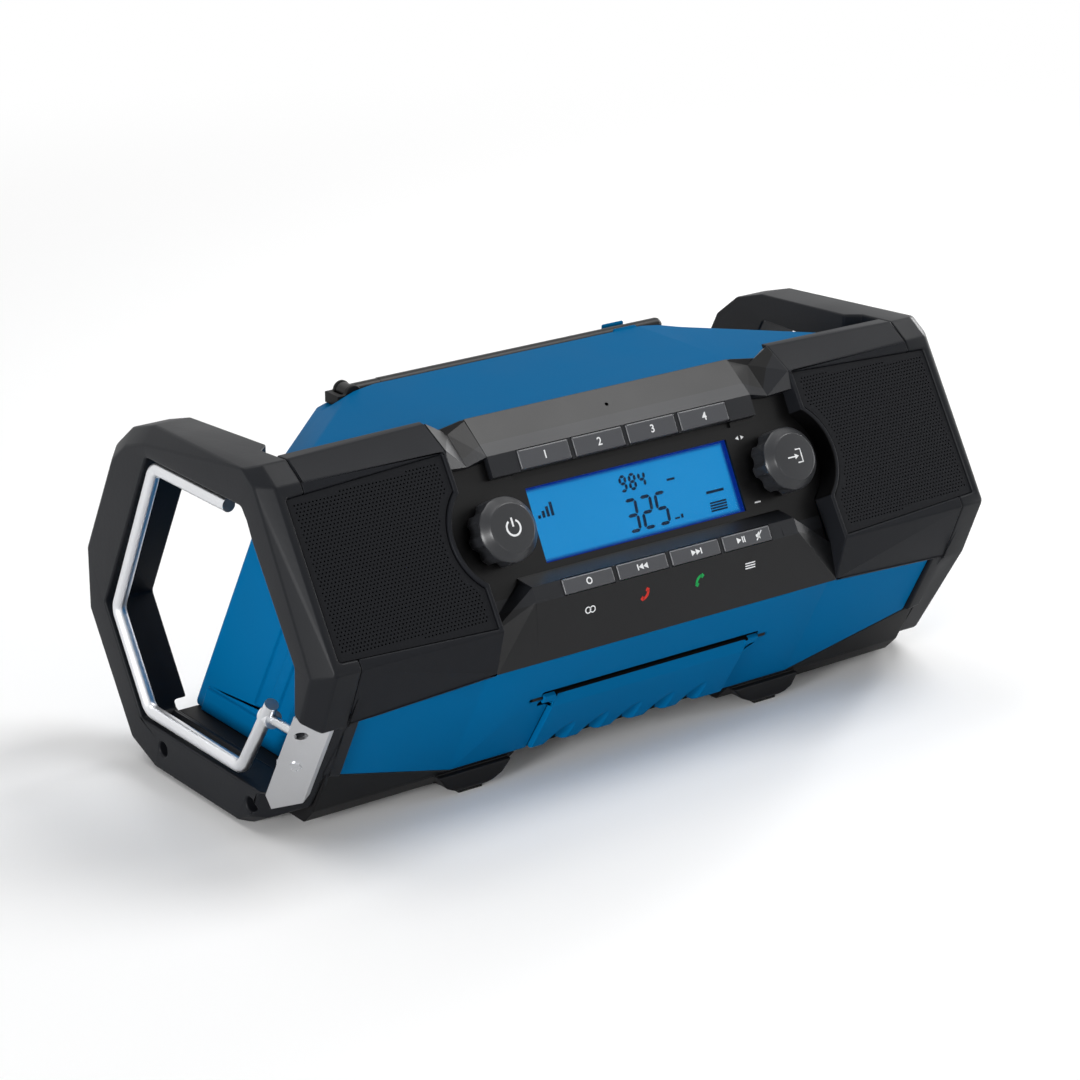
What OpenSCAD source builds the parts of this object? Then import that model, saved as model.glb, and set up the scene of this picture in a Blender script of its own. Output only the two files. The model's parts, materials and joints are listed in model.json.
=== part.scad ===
// Jobsite radio: a blue housing between two black faceted end frames, with a
// leaning front of two speakers and a recessed control console, a folding
// antenna, a swing-out steel hook and a hinged compartment door.
// +X runs along the length, +Y to the rear, +Z up; the ground is z = 0.

/* [Overall] */
// length over the end frames
radio_length = 356; // [340:1:372]
// depth from the front nose to the rear corner of the end frames
radio_depth = 193; // [185:1:201]
// height of the end frames
frame_height = 160; // [157:1:166]
// height of the blue top
top_height = 157; // [154:0.5:158]
// wall of the blue and black mouldings
wall = 3; // [2.5:0.5:4]

/* [Front] */
// lean of the speaker front from upright, degrees
front_lean = 32; // [28:1:36]
// lean of the console, display and knobs from upright, degrees
console_lean = 28; // [25:1:31]
// height of the nose, where the front turns under
nose_height = 87; // [84:1:90]
// half width of the console between its seams
console_half = 91; // [88:1:94]
// half width of the brow and the key rows
brow_half = 70; // [67:1:72]
// display window width
window_width = 107; // [100:1:108]
// display window height
window_height = 32; // [28:1:33]

/* [Keys and knobs] */
// distance of each knob from the middle
knob_offset = 75; // [73:1:77]
// knob radius over the scallops
knob_radius = 14; // [13:0.5:15]
// knob height above the console plate
knob_height = 16; // [14:0.5:17]
// width of a key
key_width = 26; // [24:0.5:26.5]
// spacing of the keys
key_pitch = 28.2; // [27.8:0.2:29]

/* [End frames] */
// thickness of a ring along the length
ring_thickness = 18; // [16:1:20]
// bevel on the ring's outer edges
ring_bevel = 6; // [4:1:8]
// distance from the middle to the blue end walls
body_half = 150; // [146:1:151]

/* [Hook] */
// diameter of the steel hook wire
wire_d = 6; // [5:0.5:6]
// diameter of the hook's pivot pin
hook_pin_d = 4; // [3.5:0.5:4.5]

/* [Antenna] */
// diameter of the antenna rod
rod_d = 6.4; // [5:0.2:6.6]
// length of the antenna from its pivot
rod_length = 170; // [150:5:175]

/* [Speakers] */
// distance of each speaker from the middle
speaker_offset = 123.5; // [123:0.5:124]
// radius of the speaker basket
basket_radius = 23.3; // [21:0.1:23.4]

/* [Door] */
// half width of the compartment door
door_half = 52; // [46:1:52]
// diameter of the door's hinge pins
door_pin_d = 2.4; // [2:0.2:2.6]

/* [Hidden] */
// $fn of true round faces, and of the children of a hull
round_fn = 64;
// side gap round an inserted piece
gap = 0.3;
// radial clearance of a pin or a shaft
pin_gap = 0.05;
half = radio_length / 2;
nose_y = -radio_depth / 2;
rear_y = radio_depth / 2;
seam_x = half - ring_thickness;
rim_x = seam_x - 6;
lean_tan = tan(front_lean);
// thickness of the speaker frames, square to the front
front_depth = 12;
// lower edge of the black front: at the console, and where the end frames begin
lip_z = 66;
lip_end_z = 60;
lip_y = -91;
lip_end_y = -85.5;
lip_inner_y = -83;
// bottom edge of the blue front, and the black wedges at its ends
blue_bottom_z = 11;
blue_bottom_y = -57;
wedge_x = 92;
wedge_z = 30;
blue_end_x = 154;
sill_z = 20;
// shoulders of the top, and the ledge that carries the antenna
shoulder_z = top_height - 2.5;
platform_half = 72;
ledge_y = 25;
ledge_z = 149.4;
ledge_back_y = 35;
// the rear face
rear_face_y = 66;
rear_slope = 0.56;
rear_top_z = ledge_z - (rear_face_y - ledge_back_y) / rear_slope;
rear_low_z = 58;
rear_foot_y = 46;
base_z = 12;
pan_bottom_z = 4;
foot_inner_x = 58;
// the four slanted rear corners: a point on the plane, its azimuth and rise
corner_x = 100;
corner_rise = 21.5;
shoulder_cut_rise = 63.4;
// window, knob and key places in the console's own plane
console_y = -74;
console_z = 101.1;
knob_s = 16.5;
cup_radius = 25;
plate = 4;
preset_s = 43.6;
preset_w = 4;
preset_h = 8.4;
key_s = -11.9;
key_w = 9;
key_h = 6.6;
board_w = -14.4;
// hook
hook_x = -half + wire_d / 2;
hook_axis = [-half + 4, 54];
hook_path = [[-52.3, 61], [-28.3, 24.9], [45.5, 24.9], [69.8, 64.5], [33.4, 138], [-24, 138]];
hook_bend = 7;
hook_pin_y = [-68.6, -45.3];
seat_azimuth = 223.73;
seat_rise = 22.77;
sheet = 1.6;
rivet_place = [28, 7];
rivet_d = 3;
rivet_depth = 2.6;
bend_overlap = 0.4;
// antenna
rod_y = 30.5;
rod_z = 153.8;
antenna_x = -82;
clip_x = 58;
// door hinge in the lower front's own plane
under_lean = atan((blue_bottom_y - lip_y) / (lip_z - blue_bottom_z));
door_top = -25.5;
door_bottom = -62.5;
hinge_s = -27.6;
hinge_w = -0.8;
ear_half = 58;
opening_half = 44;
opening_top = -33;
opening_bottom = -58;
// battery dock
dock_half = 47;
dock_low_z = 31;
dock_high_z = 97;
dock_front_y = 27;
// rear port
port_x = [60, 94];
port_z = [64, 92];
port_floor_y = 61;
port_hinge_z = 66.6;
dc_x = 70;
aux_x = 85;
jack_z = 78;

// height on the front plane -> y, and on the plane behind the speaker frames
function front_y(z) = nose_y + (z - nose_height) * lean_tan;
function back_y(z) = front_y(z) + front_depth / cos(front_lean);
// y on the blue front's outer plane at the ends, and on its inner plane
under_tan = (blue_bottom_y - (lip_inner_y)) / (lip_end_z - blue_bottom_z);
function under_y(z) = blue_bottom_y - (z - blue_bottom_z) * under_tan;
// a point (y, z) in the console's own coordinates (s up, w out)
function to_console(p) = let (dy = p[0] - console_y, dz = p[1] - console_z)
    [dy * sin(console_lean) + dz * cos(console_lean),
     -dy * cos(console_lean) + dz * sin(console_lean)];
// every edge of a closed outline moved inwards by its own distance
function line_of(p, i, d) = let (n = len(p), a = p[i % n], b = p[(i + 1) % n], e = (b - a) / norm(b - a))
    [a + d * [e[1], -e[0]], e];
function meet(l, m) = let (c = l[1][0] * m[1][1] - l[1][1] * m[1][0], q = m[0] - l[0])
    l[0] + l[1] * ((q[0] * m[1][1] - q[1] * m[1][0]) / c);
function inset(p, d) = let (n = len(p))
    [for (i = [0 : n - 1]) meet(line_of(p, (i + n - 1) % n, d[(i + n - 1) % n]), line_of(p, i, d[i]))];
function same(n, d) = [for (i = [1 : n]) d];

// outlines as (y, z), clockwise seen from the left end (+Y right, +Z up); the top bar falls to the rear
ring_outline = [[front_y(153.5), 153.5], [-45, frame_height], [38, frame_height - 5.5], [56, frame_height - 11],
    [70, frame_height - 22], [rear_y, 88], [rear_y, 57], [66, 9], [42, 0], [-30, 0], [-57, 14],
    [lip_end_y, lip_end_z], [nose_y, nose_height]];
ring_bevels = [4, 7, 7, 7, 7, 7, 7, 3, 2, 3, 7, 8, 10];
hole_outline = [[-42, 137], [-38, 142], [36, 142], [76.3, 65.5], [49, 20.8], [-50, 20.8], [-73.6, 63],
    [-74.6, 85], [-46, 129]];
frame_inner_end = [[-41, 160], [front_y(152.5), 152.5], [nose_y, nose_height], [lip_y, lip_z],
    [lip_inner_y, lip_z], [back_y(160), 160]];
frame_outer_end = [[-45, frame_height], [front_y(153.5), 153.5], [nose_y, nose_height], [lip_end_y, lip_end_z],
    [lip_inner_y + 2, lip_end_z], [back_y(frame_height), frame_height - 0.6]];
house_outline = [[back_y(top_height), top_height], [ledge_y, top_height], [ledge_y, ledge_z],
    [ledge_back_y, ledge_z], [rear_face_y, rear_top_z], [rear_face_y, rear_low_z], [rear_foot_y, base_z],
    [-52, base_z], [-77.9, lip_end_z], [-80.8, lip_z], [-82.3, back_z_at(-82.3)]];
function back_z_at(y) = nose_height + (y - nose_y - front_depth / cos(front_lean)) / lean_tan;
base_outline = [[under_y(wedge_z + 2), wedge_z + 2], [49.5, wedge_z + 2], [49.5, sill_z], [rear_foot_y, base_z],
    [42, pan_bottom_z], [-50, pan_bottom_z], [blue_bottom_y, blue_bottom_z]];
console_outline = [to_console([back_y(top_height), top_height + 0.3]), [66.1, -4.7], [48.1, preset_w], [39, preset_w],
    [38.5, 0], [-3, 0], [-8.5, key_w], [-15.3, key_w], to_console([lip_y, lip_z]),
    to_console([lip_inner_y + 1.6, lip_z]), [58, -10], to_console([back_y(150), 150])];
console_hollow = [[61, -20], [61, -5.8], [47.4, 0.8], [41.5, 0.8], [41.5, -3.2], [-5, -3.2], [-11, 5.6],
    [-14.5, 5.6], [-35, -2.8], [-32.6, -8], [-31, -20]];
// speaker grille outline as (x, s) on the front plane
grille_outline = [[93, 1.5], [93, 76.5], [168.8, 73], [168.8, 5]];

// an outline in (y, z) run along X, and one in (x, z) run along Y
module prism_x(outline, x0, x1)
    translate([x0, 0, 0]) rotate([90, 0, 90]) linear_extrude(x1 - x0) polygon(outline);
module prism_y(outline, y0, y1)
    translate([0, y1, 0]) rotate([90, 0, 0]) linear_extrude(y1 - y0) polygon(outline);
module box(a, b) translate(a) cube(b - a);
// local frames: x along the radio, y up the plane, z out of it
module on_front() translate([0, nose_y, nose_height]) rotate([90 - front_lean, 0, 0]) children();
module on_console() translate([0, console_y, console_z]) rotate([90 - console_lean, 0, 0]) children();
module on_under() translate([0, lip_y, lip_z]) rotate([90 + under_lean, 0, 0]) children();
// everything beyond a slanted plane through a point
module beyond(point, azimuth, rise)
    translate(point) rotate([0, -rise, azimuth]) translate([0, -300, -300]) cube([300, 600, 600]);
module mirrored() mirror([1, 0, 0]) children();
module both() { children(); mirror([1, 0, 0]) children(); }
module rod_x(x0, x1, r) translate([x0, 0, 0]) rotate([0, 90, 0]) cylinder(h = x1 - x0, r = r, $fn = round_fn);
module rod_y(y0, y1, r) translate([0, y0, 0]) rotate([-90, 0, 0]) cylinder(h = y1 - y0, r = r, $fn = round_fn);

blue = [0.08, 0.36, 0.58];
charcoal = [0.13, 0.13, 0.14];
black = [0.05, 0.05, 0.055];
steel = [0.75, 0.76, 0.78];

// the space that the base pan and the black front take from the blue mouldings
module base_space() {
    box([-200, -200, -10], [200, 200, base_z]);
    both() box([body_half - 4, -200, -10], [200, 200, sill_z]);
    prism_y([[-wedge_x, base_z], [wedge_x, base_z], [blue_end_x, wedge_z], [200, wedge_z + 13], [200, 0], [-200, 0],
        [-200, wedge_z + 13], [-blue_end_x, wedge_z]], -200, -42);
}
module above_lip()
    prism_y([[-console_half, lip_z], [-seam_x, lip_end_z], [-200, lip_end_z], [-200, 300], [200, 300],
        [200, lip_end_z], [seam_x, lip_end_z], [console_half, lip_z]], -200, -70);

// outer form of the blue body, shrunk by t
module body_form(t) {
    low = -50;
    difference() {
        intersection() {
            prism_x(inset(house_outline, same(len(house_outline), t)), -body_half + t, body_half - t);
            prism_y([[-200, low], [-200, shoulder_z - t], [-console_half, shoulder_z - t], [-platform_half, top_height - t],
                [platform_half, top_height - t], [console_half, shoulder_z - t], [200, shoulder_z - t], [200, low]], -200, 200);
        }
        both() {
            beyond([corner_x - t * 0.9, ledge_y + 1 - t * 0.9, shoulder_z], 45, corner_rise);
            beyond([corner_x - 8 - t, ledge_y - 7 - t, shoulder_z - t * 0.5], 45, shoulder_cut_rise);
        }
    }
}

// Blue shell of top, end walls and rear, open at the front and below.
module upper_housing() color(blue) {
    difference() {
        union() {
            difference() {
                body_form(0);
                difference() {
                    body_form(wall);
                    // thicker wall behind the rear port
                    box([port_x[0] - 2, 54, port_z[0] - 2], [port_x[1] + 2, 70, port_z[1] + 2]);
                }
                // open front, behind the speakers and the console
                prism_x([[back_y(top_height - wall) + 6, top_height - wall], [-200, top_height - wall], [-200, base_z],
                    [-46, base_z], [-71.9, lip_end_z], [-74.8, lip_z], [-76.3, back_z_at(-82.3)]],
                    -body_half + wall, body_half - wall);
                // open bottom, over the base pan
                box([-body_half + wall, -50, 0], [body_half - wall, rear_foot_y - wall - 0.4, base_z + wall + 1]);
                base_space();
            }
            // belt at the foot of each end wall
            difference() {
                both() prism_x([[-48, sill_z], [-52, 32], [38, 32], [44, sill_z]], body_half - 0.5, body_half + 1.8);
                base_space();
            }
        }
        // flutes down the end walls, running with the rear edge
        both() for (y = [-34, -18, -2])
            prism_x([[y - 4.5, 36], [y + 4.5, 36], [y + 4.5 - 80 * rear_slope, 116], [y - 4.5 - 80 * rear_slope, 116]],
                body_half - 1.4, body_half + 1);
        // battery dock and rear port
        box([-dock_half, 0, dock_low_z], [dock_half, 100, dock_high_z]);
        box([port_x[0], port_floor_y, port_z[0]], [port_x[1], 100, port_z[1]]);
        translate([dc_x, 0, jack_z]) rod_y(50, 70, 4.3);
        translate([aux_x, 0, jack_z]) rod_y(50, 70, 3.3);
    }
    // open clip that holds the antenna rod
    difference() {
        box([clip_x, ledge_y, ledge_z], [clip_x + 12, ledge_back_y + 0.5, rod_z + 3.7]);
        box([clip_x - 1, rod_y - rod_d / 2 - gap, ledge_z + 1], [clip_x + 13, rod_y + rod_d / 2 + gap, 165]);
    }
}

// Blue front below the black lip: flat ends, a raised middle and bright facets between.
module lower_housing() color(blue) {
    middle = 66;
    inner_y = 4.5;
    difference() {
        union() {
            prism_x([[under_y(lip_z), lip_z], [under_y(lip_z) + inner_y, lip_z],
                [blue_bottom_y + inner_y, blue_bottom_z], [blue_bottom_y, blue_bottom_z]], -blue_end_x, blue_end_x);
            hull() {
                prism_x([[lip_y, lip_z], [-80, lip_z], [blue_bottom_y, blue_bottom_z]], -middle, middle);
                prism_x([[under_y(lip_z), lip_z], [-80, lip_z], [blue_bottom_y, blue_bottom_z]], -93, 93);
            }
        }
        // inner face
        prism_x([[under_y(lip_z) + inner_y, lip_z + 1], [0, lip_z + 1], [0, 0], [under_y(0) + inner_y, 0]], -160, 160);
        above_lip();
        base_space();
        on_under() {
            // door pocket, its hinge groove and the two ear pockets
            box([-door_half - gap, door_bottom - 3, -3 - gap], [door_half + gap, hinge_s + 3.5, 6]);
            box([-ear_half - gap, hinge_s - 5.5, -4.4], [ear_half + gap, hinge_s + 3.5, 6]);
            box([-opening_half, opening_bottom, -20], [opening_half, opening_top, 5]);
            translate([0, hinge_s, hinge_w]) both() rod_x(ear_half - 1, ear_half + 6, door_pin_d / 2 + pin_gap);
        }
    }
}

// Black pan under the body, with sills inside the rings and two front feet.
module base_pan() color(black) difference() {
    union() {
        difference() {
            intersection() {
                prism_x(base_outline, -seam_x, seam_x);
                base_space();
            }
            // hollow of the pan
            box([-body_half + 8, -37, pan_bottom_z + wall], [body_half - 8, 38, 60]);
            both() box([foot_inner_x + 2, -46, pan_bottom_z + wall], [body_half - 8, -36, 60]);
            both() prism_x([[-60, 60], [-45, 60], [-45, pan_bottom_z + wall], [-50, pan_bottom_z + wall],
                [-54, base_z - 2]], foot_inner_x + 2, wedge_x - 2);
            // tucked up under the door
            prism_x([[-62, base_z + 0.1], [blue_bottom_y + 0.4, base_z + 0.1], [-39.5, pan_bottom_z],
                [-39.5, pan_bottom_z - 1], [-62, pan_bottom_z - 1]], -foot_inner_x, foot_inner_x);
        }
        both() intersection() {
            prism_y([[foot_inner_x + 3, 10.4], [66, 5], [73.5, 1.5], [88.5, 1.5], [94.5, 4.5], [98.6, 10.4]], -70, 0);
            prism_x([[-59.5, 10.4], [-59.5, 3], [-58, 1.5], [-44, 1.5], [-34.5, pan_bottom_z - 0.5], [-34.5, 10.4]], 50, 105);
        }
    }
    both() for (y = [-38, 31.5]) translate([0, y, 12.5]) rod_x(seam_x - 13, seam_x + 1, 1.5);
}

// Rubber pads under the two feet.
module rubber_feet() color(black) both() box([75, -57, 0], [87, -45, 1.5]);

// Black ring of one end, right side: handle, roll bar and end of the front.
module end_ring() difference() {
    union() {
        hull() {
            prism_x(ring_outline, seam_x, half - ring_bevel);
            prism_x(inset(ring_outline, ring_bevels), half - 0.5, half);
        }
        // thicker rim round the rear of the opening
        intersection() {
            prism_x(ring_outline, rim_x, seam_x + 1);
            linear_extrude(200) polygon([[rim_x, -20], [seam_x + 1, -27], [seam_x + 1, rear_y], [rim_x, rear_y]]);
            box([rim_x, -40, sill_z + 4], [seam_x + 1, rear_y, frame_height]);
        }
        // return that ends the blue front
        difference() {
            prism_x([[lip_end_y - 0.4, lip_end_z + 2], [-75, lip_end_z + 2], [-60, wedge_z - 2], [-68.5, wedge_z - 2]],
                blue_end_x, seam_x + 1);
            above_lip();
            base_space();
        }
    }
    prism_x(hole_outline, 100, 200);
    // seat of the speaker grille
    grille_pocket();
    // screws of the bottom bar, deep set
    for (y = [-38, 31.5]) translate([0, y, 12.5]) {
        rod_x(seam_x - 1, half + 1, 1.6);
        rod_x(seam_x + 4, half + 1, 3.2);
    }
}
module right_end_frame() color(black) end_ring();
// The left end frame also carries the hook: its leg is cut for the bracket.
module left_end_frame() color(black) difference() {
    union() {
        mirrored() end_ring();
        // rib along the bottom bar
        box([-seam_x - 5, -12, 20], [-seam_x - 3, 46, 22.3]);
    }
    on_seat() box([0, -40, 0], [80, 40, 60]);
    translate([hook_axis[0], 0, hook_axis[1]]) rod_y(hook_pin_y[0], -60, hook_pin_d / 2);
    on_seat() translate([rivet_place[0], rivet_place[1], -rivet_depth]) cylinder(h = 12, r = rivet_d / 2, $fn = round_fn);
}

// Screws that hold the end frames to the base pan.
module end_frame_screws() color(steel) both() for (y = [-38, 31.5]) translate([0, y, 12.5]) {
    rod_x(seam_x - 12, seam_x + 4, 1.45);
    difference() {
        rod_x(seam_x + 4, seam_x + 6.5, 3);
        translate([seam_x + 5, 0, 0]) rotate([0, 90, 0]) cylinder(h = 3, r = 1.4, $fn = 6);
    }
}

// pocket and sound opening behind a grille
module grille_pocket() on_front() {
    translate([0, 0, -2.6]) linear_extrude(20) polygon(grille_outline);
    translate([0, 0, -front_depth + wall]) linear_extrude(20) polygon(inset(grille_outline, same(4, 3)));
}
module knob_cup(r, w0, w1) on_console() translate([knob_offset, knob_s, w0]) cylinder(h = w1 - w0, r = r, $fn = round_fn * 2);

// Black frame round one speaker, from the console to the end frame.
module speaker_frame() difference() {
    hull() {
        prism_x(frame_inner_end, console_half, console_half + 0.2);
        prism_x(frame_outer_end, seam_x - 0.2, seam_x);
    }
    // open back
    prism_x([[back_y(170), 170], [60, 170], [60, lip_end_z - 2], [lip_inner_y, lip_end_z - 2],
        [lip_inner_y, back_z_at(lip_inner_y)]], 0, 200);
    difference() {
        grille_pocket();
        knob_cup(cup_radius + 2.2, -40, 60);
    }
    knob_cup(cup_radius, -20, 40);
    on_front() translate([speaker_offset, 38, -20]) cylinder(h = 20, r = basket_radius - 3, $fn = round_fn);
}
module left_speaker_frame() color(charcoal) mirrored() speaker_frame();
module right_speaker_frame() color(charcoal) speaker_frame();

// Perforated speaker grille, set into its frame.
module grille() difference() {
    on_front() translate([0, 0, -2.6]) linear_extrude(1.6) polygon(inset(grille_outline, same(4, gap)));
    knob_cup(cup_radius + 2.5, -20, 40);
}
module left_grille() color(black) mirrored() grille();
module right_grille() color(black) grille();

// One speaker: basket, cone with its roll surround, and magnet.
module speaker_place() on_front() translate([speaker_offset, 38, -front_depth]) children();
module basket() speaker_place() rotate_extrude($fn = round_fn) polygon([[22, -2], [basket_radius, -2], [basket_radius, 0],
    [19.9, 0], [19.9, -1.2], [18.4, -1.2], [18.4, -3.6], [11, -18], [11, -22], [2, -22], [2, -24], [12.5, -24], [12.5, -19]]);
module cone() speaker_place() rotate_extrude($fn = round_fn) polygon([[0, -9], [4, -9.5], [6.5, -11.5], [15.6, -3.2], [17, -1.2],
    [19.8, -1.2], [19.8, -0.4], [18.2, -0.2], [16.5, -0.4], [14.8, -2.6], [6.5, -10], [4, -8.3], [0, -7.8]]);
module magnet() speaker_place() translate([0, 0, -36]) cylinder(h = 12, r = 15, $fn = round_fn);
module left_speaker_basket() color(steel) mirrored() basket();
module right_speaker_basket() color(steel) basket();
module left_speaker_cone() color(black) mirrored() cone();
module right_speaker_cone() color(black) cone();
module left_speaker_magnet() color(charcoal) mirrored() magnet();
module right_speaker_magnet() color(charcoal) magnet();

// centres of the keys of a row
function key_x(i) = (i - 1.5) * key_pitch;
module key_slots(s, h, w) for (i = [0 : 3])
    box([key_x(i) - key_width / 2 - gap, s - h / 2 - gap, w - 12], [key_x(i) + key_width / 2 + gap, s + h / 2 + gap, w + 3]);

// Control console: brow, recessed display plate, knob cups, key shelf and faceted corners.
module console() color(charcoal) difference() {
    union() {
        on_console() rotate([90, 0, 90]) translate([0, 0, -brow_half]) linear_extrude(2 * brow_half) polygon(console_outline);
        // plates under the knobs
        on_console() both() {
            box([brow_half - 1, -24, -plate], [console_half, 52, 0]);
            translate([knob_offset, knob_s, -plate]) cylinder(h = plate, r = cup_radius - gap, $fn = round_fn * 2);
        }
        // valley beside the brow, rising again to the speaker frame
        both() {
            hull() {
                prism_x([[back_y(156), 156.5], [-38.8, 156.9], [-54.8, 145.4], [-52, 142], [-41, 146]], brow_half - 0.2, brow_half);
                prism_x([[back_y(153), 153], [-41, 153.5], [-55, 143], [-51, 140], [-42, 144]], 79.8, 80);
            }
            hull() {
                prism_x([[back_y(153), 153], [-41, 153.5], [-55, 143], [-51, 140], [-42, 144]], 80, 80.2);
                prism_x([[back_y(158), 158], [-41, 160], [front_y(152.5), 152.5], [-58, 145], [-50, 140]], console_half - 0.2, console_half);
            }
            // lower corner: a crystal-like facet that falls to the speaker frame
            hull() {
                prism_x([[-86, 97.5], [-89, 92.5], [lip_y, lip_z], [-81, lip_z], [-76, 97]], 62, brow_half);
                prism_x([[-86.5, 82], [lip_y, lip_z], [-81, lip_z], [-79, 82]], console_half - 0.2, console_half);
            }
        }
    }
    on_console() {
        // hollow behind the console, and room for the encoders
        rotate([90, 0, 90]) translate([0, 0, -brow_half + 4]) linear_extrude(2 * brow_half - 8) polygon(console_hollow);
        both() translate([knob_offset, knob_s, -40]) cylinder(h = 40 - plate, r = 9.5, $fn = round_fn);
        both() translate([knob_offset, knob_s, -20]) cylinder(h = 30, r = 4.1, $fn = round_fn);
        // display window and the lens seat behind it
        box([-window_width / 2, 0, -20], [window_width / 2, window_height, 1]);
        box([-window_width / 2 - 2.5, -2.2, -3.3], [window_width / 2 + 2.5, window_height + 2.2, -1.2]);
        key_slots(preset_s, preset_h, preset_w);
        key_slots(key_s, key_h, key_w);
        // microphone hole, square to the brow
        translate([-1, 58.6, -1.1]) rotate([-25.8, 0, 0]) translate([0, 0, -6]) cylinder(h = 12, r = 0.9, $fn = round_fn);
    }
    // the top wall of the housing begins behind the brow
    prism_x([[back_y(150), 150], [back_y(180), 180], [0, 180], [0, 150]], -console_half - 1, console_half + 1);
    // groove under the preset keys
    on_console() box([-brow_half + 12, 36.5, -1.2], [brow_half - 12, 39.1, 2.8]);
}

// Clear lens of the display, the panel behind it and its backlight.
module display_lens() color([0.2, 0.55, 0.85]) on_console()
    box([-window_width / 2 - 2.2, -1.9, -3.2], [window_width / 2 + 2.2, window_height + 1.9, -1.2]);
module display_panel() color([0.15, 0.5, 0.8]) on_console()
    box([-window_width / 2 - 2, -1.8, -6.2], [window_width / 2 + 2, window_height + 1.8, -3.2]);
module display_backlight() color([0.9, 0.9, 0.9]) on_console()
    box([-window_width / 2 - 2, -1.8, board_w], [window_width / 2 + 2, window_height + 1.8, -6.2]);

// A key: cap with softened edges and a stem that reaches its switch.
module key(i, s, h, w, top) on_console() translate([key_x(i), s, w]) {
    hull() {
        box([-key_width / 2, -h / 2, -3.5], [key_width / 2, h / 2, top - 0.5]);
        box([-key_width / 2 + 0.6, -h / 2 + 0.6, top - 0.6], [key_width / 2 - 0.6, h / 2 - 0.6, top]);
    }
    box([-5, -1.6, -w + board_w + 4.5], [5, 1.6, -3.4]);
}
module preset_button_1() color(black) key(0, preset_s, preset_h, preset_w, 0.8);
module preset_button_2() color(black) key(1, preset_s, preset_h, preset_w, 0.8);
module preset_button_3() color(black) key(2, preset_s, preset_h, preset_w, 0.8);
module preset_button_4() color(black) key(3, preset_s, preset_h, preset_w, 0.8);
module link_button() color(black) key(0, key_s, key_h, key_w, 0.8);
module previous_button() color(black) key(1, key_s, key_h, key_w, 0.8);
module next_button() color(black) key(2, key_s, key_h, key_w, 0.8);
module play_button() color(black) key(3, key_s, key_h, key_w, 0.8);

// Board behind the console with one switch under each key.
module button_board() color([0.05, 0.3, 0.15]) on_console() box([-62, -17, board_w - 1.6], [62, 49, board_w]);
module button_switches() color(steel) on_console() for (i = [0 : 3]) for (s = [preset_s, key_s])
    translate([key_x(i), s, board_w]) {
        box([-3, -3, 0], [3, 3, 2.6]);
        cylinder(h = 3.4, r = 1.5, $fn = round_fn);
    }

// Microphone capsule behind the brow.
module microphone() color(steel) on_console() translate([-1, 58.6, -1.1]) rotate([-25.8, 0, 0]) translate([0, 0, -5.3])
    cylinder(h = 2, r = 2.6, $fn = round_fn);

// Scalloped knob with a domed cap, pressed on its shaft.
module knob_place() on_console() translate([knob_offset, knob_s, 0]) children();
module knob() knob_place() difference() {
    rotate_extrude($fn = round_fn * 2) polygon([[0, 2], [knob_radius, 2], [knob_radius, 11], [knob_radius - 0.6, 12.6],
        [knob_radius - 1.6, 14.2], [knob_radius - 3.2, 15.2], [knob_radius - 7, knob_height - 0.2], [0, knob_height]]);
    // finger scallops round the skirt
    for (i = [0 : 8]) rotate([0, 0, i * 40 + 8]) translate([knob_radius + 1.6, 0, 1]) cylinder(h = 10.5, r = 3.4, $fn = round_fn);
    // hollow skirt and the shaft's bore
    translate([0, 0, 1]) difference() {
        cylinder(h = 8, r = knob_radius - 4, $fn = round_fn);
        cylinder(h = 8, r = 5, $fn = round_fn);
    }
    translate([0, 0, 1]) cylinder(h = 12, r = 3 + pin_gap, $fn = round_fn);
}
module shaft() knob_place() translate([0, 0, -6]) cylinder(h = 18.5, r = 3, $fn = round_fn);
module plunger() knob_place() translate([0, 0, -10.2]) cylinder(h = 4.2, r = 2, $fn = round_fn);
module encoder() knob_place() difference() {
    union() {
        box([-6, -6, -13.5], [6, 6, -plate]);
        translate([0, 0, -plate - 0.1]) cylinder(h = plate + 0.9, r = 4.0, $fn = round_fn);
    }
    translate([0, 0, -7.3]) cylinder(h = 12, r = 3 + pin_gap, $fn = round_fn);
    translate([0, 0, -11.6]) cylinder(h = 12, r = 2 + pin_gap, $fn = round_fn);
}
module volume_knob() color(black) mirrored() knob();
module tuning_knob() color(black) knob();
module volume_shaft() color(steel) mirrored() shaft();
module tuning_shaft() color(steel) shaft();
module volume_plunger() color(steel) mirrored() plunger();
module tuning_plunger() color(steel) plunger();
module volume_encoder() color(steel) mirrored() encoder();
module tuning_encoder() color(steel) encoder();

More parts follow.
